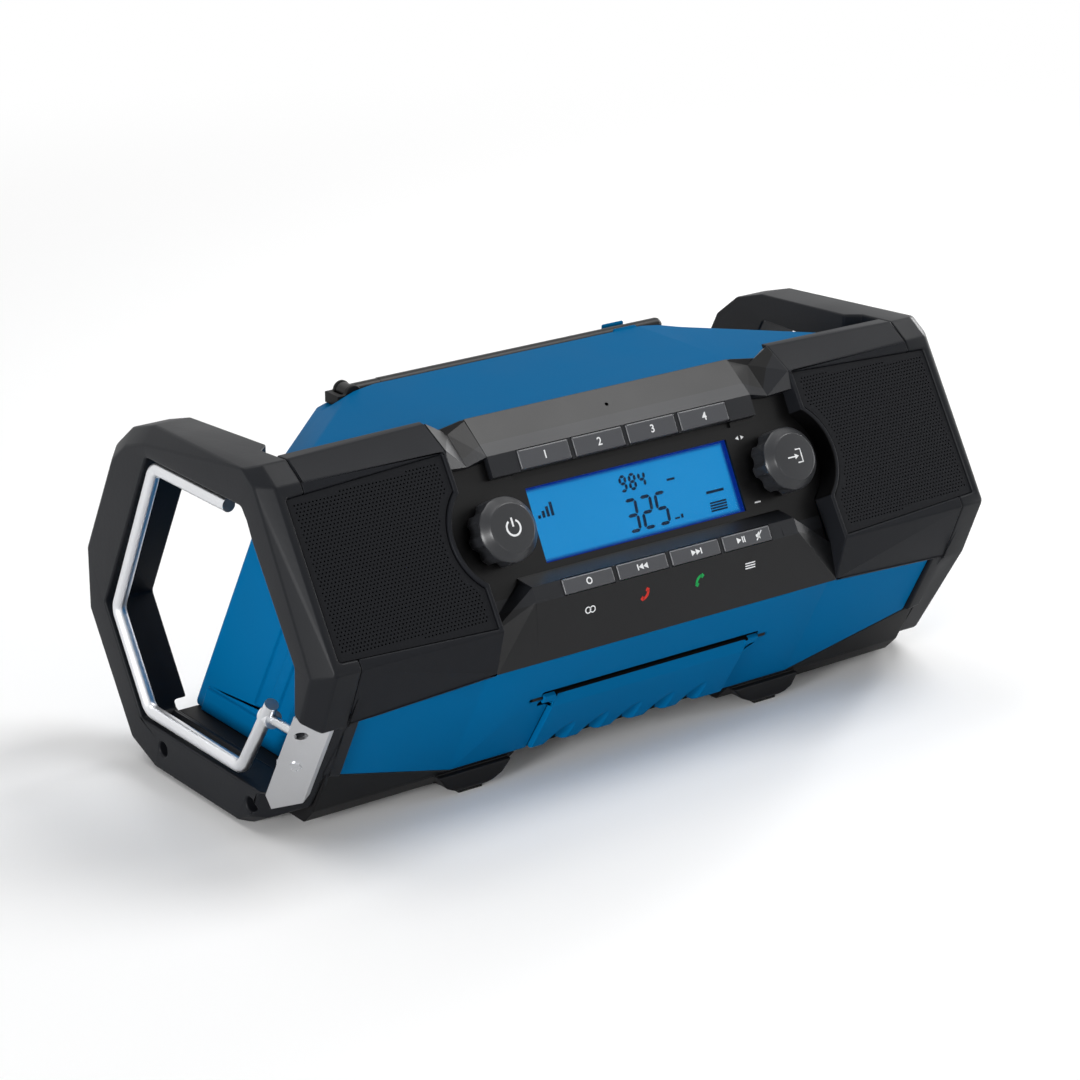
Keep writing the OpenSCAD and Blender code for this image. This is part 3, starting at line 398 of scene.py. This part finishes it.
powder = moulded("grille_powder_coat", (0.0055, 0.006, 0.0075), 0.5, grain=3000, depth=0.03, mottle=0.05,
                sheen=0.085)
hole_pitch, hole_radius, hole_sides, plain_border = 1.75, 0.41, 8, 2.6
for side, name in ((-1, "left_grille"), (1, "right_grille")):
    outline = grille_outline(side)
    columns, rows = np.meshgrid(np.arange(-2, 48), np.arange(-2, 54))
    centres = np.stack([side * (94 + (columns + (rows % 2) / 2) * hole_pitch), rows * hole_pitch * sin(pi / 3)], -1)
    centres = centres.reshape(-1, 2)
    centres = centres[inside_of(centres, outline)]
    centres = centres[distance_to(centres, outline) > plain_border]
    flat, triangles = sheet_with_holes(outline, centres, hole_radius, hole_sides)
    n = len(flat)
    front = front_plane(flat[:, 0], flat[:, 1], np.full(n, -1.0))
    back = front_plane(flat[:, 0], flat[:, 1], np.full(n, -2.2))
    corner = flat[triangles]
    area = np.cross(corner[:, 1] - corner[:, 0], corner[:, 2] - corner[:, 0])
    triangles = np.where(area[:, None] > 0, triangles, triangles[:, ::-1])
    # walls join the front and back of the outline and of every hole
    half = np.concatenate([triangles[:, [0, 1]], triangles[:, [1, 2]], triangles[:, [2, 0]]])
    keys = set(map(tuple, half.tolist()))
    free = np.array([e for e in keys if (e[1], e[0]) not in keys])
    walls = np.stack([free[:, 1], free[:, 0], free[:, 0] + n, free[:, 1] + n], -1)
    faces = triangles.tolist() + (triangles[:, ::-1] + n).tolist() + walls.tolist()
    sheet = piece_from(name + "_sheet", np.concatenate([front, back]), faces, "chassis", powder,
                       False)
    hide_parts(name)

# ---- speakers -----------------------------------------------------------------------------------------
# Full-range drivers: stamped basket, paper cone with a rubber roll, ferrite magnet with its back plate.
cone_paper = moulded("cone_paper", (0.02, 0.02, 0.021), 0.8, grain=900, depth=0.15)
basket_steel = metal("basket_steel", (0.35, 0.35, 0.36), 0.42)
ferrite = moulded("magnet_ferrite", (0.03, 0.03, 0.032), 0.6)
for side in ("left", "right"):
    finish_with(cone_paper, side + "_speaker_cone")
    finish_with(basket_steel, side + "_speaker_basket")
    finish_with(ferrite, side + "_speaker_magnet")

# ---- console ------------------------------------------------------------------------------------------
# Charcoal console between the speakers: brow, sunk plate with the knob cups, key shelf and faceted corners.
# It is moulded with sharp facets; its sunk plate and the face under the keys are painted darker than the brow, as
# painted shade.
console_plastic = moulded("console_plastic", (0.0095, 0.0103, 0.0125), 0.34, depth=0.04, sheen=0.22)
x, s, w = plane_axes(console_plastic, *console_frame)
# painted shade: the sunk plate and its cups are painted near black, and the face under the key shelf is painted a
# little less dark
paint_shade(console_plastic, all_of(console_plastic, (w, "LESS_THAN", 0.0012), (s, "GREATER_THAN", -0.010)))
paint_shade(console_plastic, all_of(console_plastic, (s, "LESS_THAN", -0.0155)), (0.005, 0.0052, 0.006))
finish_with(console_plastic, "console")


def console_plane(x, s, w):
    """Row-frame points of the console's own plane: s runs up the plate, w out of it, in millimetres."""
    return np.stack([x, console_y + s * sin(console_lean) - w * cos(console_lean),
                     console_z + s * cos(console_lean) + w * sin(console_lean)], -1)


# black corner pieces fill the valleys beside the brow, up to the sloping edge of the blue top
for side, name in ((-1, "left_valley_filler"), (1, "right_valley_filler")):
    edge = np.array([(69.5, 157.0), (72.0, 157.0), (91.5, 154.5), (91.5, 151.5), (69.5, 151.5)])[::side]
    behind = front_y + (edge[:, 1] - front_z) * tan(front_lean) + 14.15
    ends = [np.stack([side * edge[:, 0], behind + step, edge[:, 1]], -1) for step in (-0.35, 0.1)]
    around = [[i, i + 5, (i + 1) % 5 + 5, (i + 1) % 5] for i in range(5)]
    piece_from(name, np.concatenate(ends), [[4, 3, 2, 1, 0], [5, 6, 7, 8, 9], *around], "chassis", black,
               False)


# ---- display ------------------------------------------------------------------------------------------
# Backlit liquid-crystal window: a clear acrylic lens, the glass with its dark segments, and the lit
# diffuser behind, whose edges fall off to a deep blue.
lens_glass = bpy.data.materials.new("display_lens_acrylic")
lens_glass.use_nodes = True
surface = lens_glass.node_tree.nodes["Principled BSDF"]
surface.inputs["Transmission Weight"].default_value = 1.0
surface.inputs["IOR"].default_value = 1.06
place = shader(lens_glass, "TexCoord").outputs["Object"]
haze = shader(lens_glass, "TexNoise", {"Vector": place, "Scale": 180, "Detail": 2})
gloss = shader(lens_glass, "MapRange", {0: haze.outputs["Fac"], 1: 0.35, 2: 0.7, 3: 0.01, 4: 0.05})
lens_glass.node_tree.links.new(gloss.outputs[0], surface.inputs["Roughness"])
lens_tint = shader(lens_glass, "Mix", {0: haze.outputs["Fac"], 6: (0.93, 0.96, 1, 1), 7: (0.97, 0.98, 1, 1)},
                   data_type="RGBA")
lens_glass.node_tree.links.new(lens_tint.outputs[2], surface.inputs["Base Color"])

window_half, window_height = 53.5, 32.0


def slab(x0, x1, s0, s1, w0, w1):
    """The eight corners and six outward faces of a slab on the console's plane."""
    x, s, w = (c.ravel() for c in np.meshgrid([x0, x1], [s0, s1], [w0, w1], indexing="ij"))
    return console_plane(x, s, w), np.array([[0, 1, 3, 2], [4, 6, 7, 5], [0, 4, 5, 1], [2, 3, 7, 6], [0, 2, 6, 4],
                                             [1, 5, 7, 3]])


points, faces = slab(-window_half - 2.2, window_half + 2.2, -1.9, window_height + 1.9, -2.2, -1.2)
cover = piece_from("display_cover", points, faces, "chassis", lens_glass, False)
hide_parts("display_lens")

lit = bpy.data.materials.new("display_backlit_glass")
lit.use_nodes = True
surface = lit.node_tree.nodes["Principled BSDF"]
x, s, w = plane_axes(lit, *console_frame)
# distance inside the window's edge, by which the light falls off
from_middle = shader(lit, "Math", {0: s, 1: window_height / 2000}, operation="SUBTRACT")
side_gap = shader(lit, "Math", {0: x, 1: window_half / 1000}, operation="SUBTRACT")
end_gap = shader(lit, "Math", {0: shader(lit, "Math", {0: from_middle.outputs[0]}, operation="ABSOLUTE").outputs[0],
                               1: window_height / 2000}, operation="SUBTRACT")
edge_gap = shader(lit, "Math", {0: side_gap.outputs[0], 1: end_gap.outputs[0]}, operation="MAXIMUM")
rim = shader(lit, "MapRange", {0: edge_gap.outputs[0], 1: -0.0024, 2: -0.0002, 3: 0.0, 4: 1.0},
             interpolation_type="SMOOTHSTEP")
waves = shader(lit, "TexNoise", {"Vector": shader(lit, "TexCoord").outputs["Object"], "Scale": 22, "Detail": 2})
glow = shader(lit, "Mix", {0: waves.outputs["Fac"], 6: (0.008, 0.225, 0.53, 1), 7: (0.012, 0.25, 0.58, 1)},
              data_type="RGBA")
face = shader(lit, "Mix", {0: rim.outputs[0], 6: glow.outputs[2], 7: (0.002, 0.02, 0.2, 1)}, data_type="RGBA")
lit.node_tree.links.new(face.outputs[2], surface.inputs["Emission Color"])
surface.inputs["Emission Strength"].default_value = 0.9
dim = shader(lit, "Mix", {0: rim.outputs[0], 6: (0.004, 0.03, 0.06, 1), 7: (0.002, 0.004, 0.03, 1)},
             data_type="RGBA")
lit.node_tree.links.new(dim.outputs[2], surface.inputs["Base Color"])
surface.inputs["Roughness"].default_value = 0.5
surface.inputs["Specular IOR Level"].default_value = 0.05
finish_with(lit, "display_panel")
finish_with(moulded("backlight_frame", (0.6, 0.62, 0.65), 0.5), "display_backlight")


def bars_to_piece(name, outlines, w0, w1, body, material, place=console_plane):
    """Thin flat plates from outlines in (x, s), each a front, a back and its side walls."""
    points, faces = [], []
    for outline in outlines:
        outline = np.asarray(outline, float)
        x, s = outline[:, 0], outline[:, 1]
        if (x * np.roll(s, -1) - np.roll(x, -1) * s).sum() < 0:
            x, s = x[::-1], s[::-1]
        n, first = len(x), len(points)
        points += place(x, s, np.full(n, w1)).tolist() + place(x, s, np.full(n, w0)).tolist()
        i = np.arange(n)
        j = (i + 1) % n
        faces += [(first + i).tolist(), (first + n + i[::-1]).tolist()]
        faces += np.stack([first + i, first + n + i, first + n + j, first + j], -1).tolist()
    return piece_from(name, points, faces, body, material, False)


def segment_digit(digit, x, s, width, height, thick, lean=0.10):
    """Outlines of a seven-segment digit whose lower left corner is (x, s), leaning to the right."""
    lit_bars = {0: "abcdef", 1: "bc", 2: "abged", 3: "abgcd", 4: "fgbc", 5: "afgcd", 6: "afgedc", 7: "abc",
                8: "abcdefg", 9: "abcdfg"}[digit]
    half, t, g = height / 2, thick, thick * 0.18
    across = lambda v: [(g + t * .3, v), (g + t, v + t / 2), (width - g - t, v + t / 2), (width - g - t * .3, v),
                        (width - g - t, v - t / 2), (g + t, v - t / 2)]
    upright = lambda u, v0, v1: [(u, v0 + g), (u + t / 2, v0 + g + t / 2), (u + t / 2, v1 - g - t / 2), (u, v1 - g),
                                 (u - t / 2, v1 - g - t / 2), (u - t / 2, v0 + g + t / 2)]
    low, mid, top = t / 2, half, height - t / 2
    bars = {"a": across(top), "g": across(mid), "d": across(low), "b": upright(width - t / 2, mid, top),
            "c": upright(width - t / 2, low, mid), "f": upright(t / 2, mid, top), "e": upright(t / 2, low, mid)}
    return [[(x + u + lean * v, s + v) for u, v in bars[b]] for b in lit_bars]


segments = []
for place_no, digit in enumerate((9, 8, 4)):
    segments += segment_digit(digit, -5.4 + place_no * 5.0, 20.6, 4.0, 7.4, 1.3)
for place_no, digit in enumerate((3, 2, 5)):
    segments += segment_digit(digit, -6.6 + place_no * 7.9, 3.0, 6.4, 14.6, 1.5)
segments += [[(19.4, 20.9), (23.6, 20.9), (23.7, 21.9), (19.5, 21.9)]]
segments += [[(18.0, 4.2), (20.6, 4.2), (20.7, 5.0), (18.1, 5.0)], [(21.4, 4.2), (22.6, 4.2), (22.7, 5.9), (21.5, 5.9)]]
# bars of a list at the right, and four rising bars of signal strength at the left
segments += [[(37.6 + k * 0.1, 3.2 + k), (46.6 + k * 0.1, 3.2 + k), (46.7 + k * 0.1, 4.0 + k),
              (37.7 + k * 0.1, 4.0 + k)] for k in (0.0, 1.15, 2.3, 3.45)]
segments += [[(37.6, 11.2), (47.2, 11.2), (47.3, 12.4), (37.7, 12.4)]]
segments += [[(-49.3 + k * 2.3, 18.6), (-47.9 + k * 2.3, 18.6), (-47.8 + k * 2.3, 20.0 + k * 1.5),
              (-49.2 + k * 2.3, 20.0 + k * 1.5)] for k in range(4)]
ink = moulded("segment_ink", (0.002, 0.012, 0.035), 0.4, depth=0.01)
bars_to_piece("display_segments", segments, -3.19, -3.08, "chassis", ink)

# ---- keys ---------------------------------------------------------------------------------------------
# Eight keys of glossier charcoal plastic with white pad-printed marks.
key_plastic = moulded("key_plastic", (0.045, 0.047, 0.053), 0.3, depth=0.02, sheen=0.4)
keys = ("preset_button_1", "preset_button_2", "preset_button_3", "preset_button_4", "link_button",
        "previous_button", "next_button", "play_button")
finish_with(key_plastic, *keys)
for name in keys:
    soften(name, 0.3)

mark_white = moulded("mark_white", (0.72, 0.73, 0.74), 0.5, depth=0.01, mottle=0.03)
key_pitch = 28.2


def printed_digit(name, text, x, s, w, height, body, material):
    """A digit of the plain built-in face as a thin solid, centred on (x, s) of the console's plane."""
    curve = bpy.data.curves.new(name, "FONT")
    curve.body, curve.size, curve.extrude, curve.resolution_u = text, 1.0, 0.5, 4
    curve.offset = 0.012
    holder = bpy.data.objects.new(name, curve)
    flat = bpy.data.meshes.new_from_object(holder)
    bpy.data.objects.remove(holder)
    points = np.array([v.co for v in flat.vertices])
    faces = [list(p.vertices) for p in flat.polygons]
    low, high = points.min(0), points.max(0)
    points = (points - (low + high) / 2) * (height / (high[1] - low[1]))
    depth = np.where(points[:, 2] > 0, w + 0.06, w - 0.1)
    bpy.data.meshes.remove(flat)
    return piece_from(name, console_plane(x + points[:, 0], s + points[:, 1], depth), faces, body, material,
                      False)


for i in range(4):
    printed_digit(f"preset_mark_{i + 1}", str(i + 1), (i - 1.5) * key_pitch, 43.6, 4.8, 3.5, keys[i], mark_white)


def arrow(x, s, size, way=1):
    """A triangle that points along x."""
    return [(x - way * size * 0.45, s - size / 2), (x + way * size * 0.45, s), (x - way * size * 0.45, s + size / 2)]


def upright_bar(x, s, width, height):
    """A rectangle centred on (x, s)."""
    return [(x - width / 2, s - height / 2), (x + width / 2, s - height / 2), (x + width / 2, s + height / 2),
            (x - width / 2, s + height / 2)]


def stroke(points, width):
    """A band of that width along a polyline, its ends square."""
    points = np.asarray(points, float)
    along = np.gradient(points, axis=0)
    along /= np.linalg.norm(along, axis=1)[:, None]
    off = np.stack([-along[:, 1], along[:, 0]], -1) * width / 2
    return np.concatenate([points - off, (points + off)[::-1]])


def strokes_to_piece(name, bands, outlines, w0, w1, body, material, place=console_plane):
    """Bands are cut into short quads, so that bent ones stay whole; plain outlines go in as they are."""
    pieces = [np.asarray(o, float) for o in outlines]
    for points, width in bands:
        ring = stroke(points, width)
        n = len(ring) // 2
        left, right = ring[:n], ring[n:][::-1]
        pieces += [np.array([left[k], left[k + 1], right[k + 1], right[k]]) for k in range(n - 1)]
    return bars_to_piece(name, pieces, w0, w1, body, material, place)


row_s, row_w = -11.9, 9.8
bend = np.linspace(0, 2 * pi, 17)
x = -1.5 * key_pitch
strokes_to_piece("link_mark", [(np.stack([x + 1.25 * np.cos(bend), row_s + 1.25 * np.sin(bend)], -1), 0.55)], [],
                 row_w - 0.1, row_w + 0.06, "link_button", mark_white)
x = -0.5 * key_pitch
bars_to_piece("previous_mark", [arrow(x - 1.2, row_s, 2.6, -1), arrow(x + 1.2, row_s, 2.6, -1),
                                upright_bar(x - 2.8, row_s, 0.6, 2.6)], row_w - 0.1, row_w + 0.06,
              "previous_button", mark_white)
x = 0.5 * key_pitch
bars_to_piece("next_mark", [arrow(x - 1.2, row_s, 2.6), arrow(x + 1.2, row_s, 2.6),
                            upright_bar(x + 2.8, row_s, 0.6, 2.6)], row_w - 0.1, row_w + 0.06,
              "next_button", mark_white)
x = 1.5 * key_pitch
horn = [(-1.5, -0.6), (-0.7, -0.6), (0.5, -1.6), (0.5, 1.6), (-0.7, 0.6), (-1.5, 0.6)]
strokes_to_piece("play_mark", [([(x + 4.6, row_s - 1.9), (x + 8.2, row_s + 1.9)], 0.5)],
                 [arrow(x - 4.6, row_s, 2.6), upright_bar(x - 2.7, row_s, 0.55, 2.6),
                  upright_bar(x - 1.7, row_s, 0.55, 2.6), [(x + 6.2 + u, row_s + v) for u, v in horn]],
                 row_w - 0.1, row_w + 0.06,
                 "play_button", mark_white)

# ---- printed marks of the console ---------------------------------------------------------------------
# Pad-printed marks on the face under the keys: a red and a green handset, and two plain white signs.
lower_head = console_plane(np.array([0.0]), np.array([-15.3]), np.array([9.0]))[0][1:]


def lower_face(x, v, w):
    """Row-frame points of the face under the key shelf: v runs up it from its foot, w out of it."""
    foot, head = np.array([-91.0, 66.0]), lower_head
    up = (head - foot) / np.linalg.norm(head - foot)
    out = np.array([-up[1], up[0]])
    return np.stack([x, foot[0] + v * up[0] + w * out[0], foot[1] + v * up[1] + w * out[1]], -1)


red_mark = moulded("mark_red", (0.55, 0.03, 0.02), 0.5, depth=0.01)
green_mark = moulded("mark_green", (0.01, 0.30, 0.07), 0.5, depth=0.01)
mark_v = 17.0


def handset(x, v, turn):
    """A telephone handset: a bowed bar with a wider block at each end, turned in degrees."""
    t = np.linspace(-1, 1, 13)
    spine = np.stack([t * 2.3, -0.9 * (1 - t ** 2)], -1)
    a = radians(turn)
    spin = np.array([[cos(a), sin(a)], [-sin(a), cos(a)]])
    ends = [np.array([(-3.1, -0.3), (-1.5, -0.5), (-1.3, 1.0), (-2.9, 1.2)]),
            np.array([(3.1, -0.3), (2.9, 1.2), (1.3, 1.0), (1.5, -0.5)])]
    return [(spine @ spin + (x, v), 1.15)], [e @ spin + (x, v) for e in ends]


for name, x, turn, material in (("hang_up_mark", -13.9, 50, red_mark), ("answer_mark", 14.9, 230, green_mark)):
    bands, outlines = handset(x, mark_v, turn)
    strokes_to_piece(name, bands, outlines, -0.1, 0.08, "chassis", material, lower_face)
bars_to_piece("list_mark", [[(40.2, v0), (45.6, v0), (45.6, v0 + 0.5), (40.2, v0 + 0.5)] for v0 in (15.9, 17.0, 18.1)],
              -0.1, 0.08, "chassis", mark_white, lower_face)
loop = np.linspace(0, 2 * pi, 21)
strokes_to_piece("pair_mark", [(np.stack([-44.0 + 1.3 * np.cos(loop), mark_v + 1.3 * np.sin(loop)], -1), 0.45),
                               (np.stack([-41.7 + 1.3 * np.cos(loop), mark_v + 1.3 * np.sin(loop)], -1), 0.45)], [],
                 -0.1, 0.08, "chassis", mark_white, lower_face)
bars_to_piece("tuning_marks", [arrow(62.4, 31.3, 1.8), arrow(59.4, 31.3, 1.8, -1), upright_bar(60.6, 2.4, 3.2, 0.6)],
              -0.08, 0.06, "chassis", mark_white)

# ---- knobs --------------------------------------------------------------------------------------------
# Scalloped knobs with a broad chamfer and a shallow domed face, moulded charcoal with printed signs.
knob_plastic = moulded("knob_plastic", (0.018, 0.019, 0.0215), 0.32, depth=0.03, sheen=0.36)


def dome(r):
    """Height of the knob's face above the plate at a radius: a shallow bowl-shaped crown."""
    return 16.0 - 0.35 * (r / 10.4) ** 2


def knob_mesh(name, centre_x, body, node):
    """The knob as r(turn, step): the smaller of a turned profile and of nine round scallops, whose floor
    runs out at the top of the skirt; the rows go from the skirt's foot over the rim to the face."""
    profile = np.array([(12.6, 3.2), (12.8, 2.3), (13.2, 2.05), (13.7, 2.1), (13.95, 2.4), (14, 3), (14, 5),
                        (14, 7), (14, 9), (14, 10.4), (13.98, 11.2), (13.9, 11.7), (13.7, 12.1), (13.35, 12.55),
                        (12.7, 13.2), (12.0, 13.9),
                        (11.3, 14.6), (10.95, 14.95), (10.7, 15.25), (10.5, 15.48), (10.3, 15.62), (10.0, 15.7)])
    inner = np.linspace(9.6, 0.4, 14)
    profile = np.concatenate([profile, np.stack([inner, dome(inner)], -1)])
    columns = 432
    turn = np.linspace(0, 2 * pi, columns, endpoint=False)
    r, w = profile[:, 0][:, None], np.broadcast_to(profile[:, 1][:, None], (len(profile), columns))
    phase = (turn - radians(8) + pi / 9) % (2 * pi / 9) - pi / 9
    reach, width = 15.6, 3.4
    inside = np.abs(reach * np.sin(phase)) < width
    depth = np.sqrt(np.maximum(width ** 2 - (reach * np.sin(phase)) ** 2, 0))
    floor = np.where(inside, reach * np.cos(phase) - depth, 99)
    # the scallop's floor climbs outwards above 11 mm, as left by a ball-nosed cutter
    rise = np.where(w > 9.8, np.minimum((w - 9.8) ** 2 * 0.55, 99), 0)
    sharp = 0.35
    low = floor[None] + rise
    blended = -sharp * np.log(1 + np.exp(np.clip(-(low - r) / sharp, -60, 60))) + r
    radius = np.where(low < 60, np.minimum(blended, r), r)
    points = console_plane(centre_x + radius * np.cos(turn), knob_s + radius * np.sin(turn), w)
    rows_n = len(profile)
    points = points.reshape(-1, 3)
    top = console_plane(np.array([centre_x]), np.array([knob_s]), np.array([dome(0)]))
    foot_ring = console_plane(centre_x + 4.5 * np.cos(turn), knob_s + 4.5 * np.sin(turn), np.full(columns, 3.2))
    points = np.concatenate([points, top, foot_ring])
    i, j = np.meshgrid(np.arange(rows_n - 1), np.arange(columns), indexing="ij")
    k = (j + 1) % columns
    quads = np.stack([i * columns + j, i * columns + k, (i + 1) * columns + k, (i + 1) * columns + j], -1)
    j = np.arange(columns)
    k = (j + 1) % columns
    tip = rows_n * columns
    fan = np.stack([(rows_n - 1) * columns + j, (rows_n - 1) * columns + k, np.full(columns, tip)], -1)
    under = np.stack([tip + 1 + j, tip + 1 + k, k, j], -1)
    faces = quads.reshape(-1, 4).tolist() + fan.tolist() + under.tolist() + [(tip + 1 + j[::-1]).tolist()]
    made = piece_from(name, points, faces, body, knob_plastic)
    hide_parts(node)


knob_mesh("volume_knob_cap", -knob_x, "volume_dial", "volume_knob")
knob_mesh("tuning_knob_cap", knob_x, "tuning_dial", "tuning_knob")


def on_dome(centre_x):
    """Places (x, s) on the domed face of the knob at that centre; w is the height above the face."""
    return lambda x, s, w: console_plane(centre_x + x, knob_s + s, dome(np.hypot(x, s)) + w)


gap_half = radians(32)
sweep_turn = np.linspace(pi / 2 + gap_half, 5 * pi / 2 - gap_half, 41)
strokes_to_piece("power_mark", [(np.stack([3.3 * np.cos(sweep_turn), 3.3 * np.sin(sweep_turn)], -1), 0.85),
                                ([(0, 0.4), (0, 2.2), (0, 4.2)], 0.85)], [], -0.1, 0.06,
                 "volume_dial", mark_white, on_dome(-knob_x))
strokes_to_piece("source_mark", [([(0.6, 2.9), (3.3, 2.9), (3.3, 0), (3.3, -2.9), (0.6, -2.9)], 0.6),
                                 ([(-4.2, 0), (-2, 0), (0, 0)], 0.6)], [arrow(0.7, 0, 2.4)], -0.1, 0.06,
                 "tuning_dial", mark_white, on_dome(knob_x))
for side in ("volume", "tuning"):
    finish_with(plated, side + "_shaft", side + "_plunger")
    finish_with(moulded(side + "_encoder_body", (0.05, 0.05, 0.055), 0.4), side + "_encoder")

# ---- boards behind the front --------------------------------------------------------------------------
# Glass-epoxy boards with green solder mask, tact switches and the microphone capsule.
mask_green = moulded("solder_mask", (0.012, 0.10, 0.035), 0.35, grain=500, depth=0.02)
finish_with(mask_green, "button_board", "main_board")
finish_with(plated, "button_switches", "microphone")

# ---- antenna ------------------------------------------------------------------------------------------
# Telescopic rod in a black sleeve, pinned in a forked base on the ledge behind the top.
sleeve = moulded("antenna_sleeve", (0.006, 0.006, 0.0065), 0.36, depth=0.02, sheen=0.2)
finish_with(sleeve, "antenna_rod")
finish_with(black, "antenna_base")
soften("antenna_base", 0.4)
finish_with(plated, "antenna_pin")

# ---- hook ---------------------------------------------------------------------------------------------
# Zinc-plated steel wire bent round the ring's hole, on a pin in a folded bracket of satin steel.
wire_steel = metal("hook_wire_steel", (0.74, 0.75, 0.77), 0.34, scale=700)
bracket_steel = metal("bracket_satin_steel", (0.60, 0.605, 0.62), 0.34, stretch=(1, 1, 0.05), scale=1800)
finish_with(wire_steel, "hook_wire")
finish_with(plated, "hook_pin", "bracket_rivets")
finish_with(bracket_steel, "hook_bracket", "hook_catch")

# ---- door and cells -----------------------------------------------------------------------------------
# Blue door over the backup cells, with a chamfered rim and five slanted finger scoops, hung on two pins.
soften("compartment_door", 0.5)
finish_with(black, "door_pins")
finish_with(plated, "cell_contacts")
finish_with(black, "compartment_tray")
finish_with(moulded("cell_wrap", (0.02, 0.06, 0.10), 0.3, depth=0.01), "backup_cells")

# ---- rear ---------------------------------------------------------------------------------------------
# Battery dock with its rails and contact block, and the flap over the power and audio jacks.
finish_with(black, "battery_dock")
soften("battery_dock", 0.5)
finish_with(moulded("terminal_block", (0.05, 0.05, 0.05), 0.4), "dock_terminal_block")
finish_with(metal("brass_terminals", (0.75, 0.55, 0.25), 0.3), "dock_terminals")
soften("port_flap", 0.5)
finish_with(black, "dc_jack", "aux_jack")
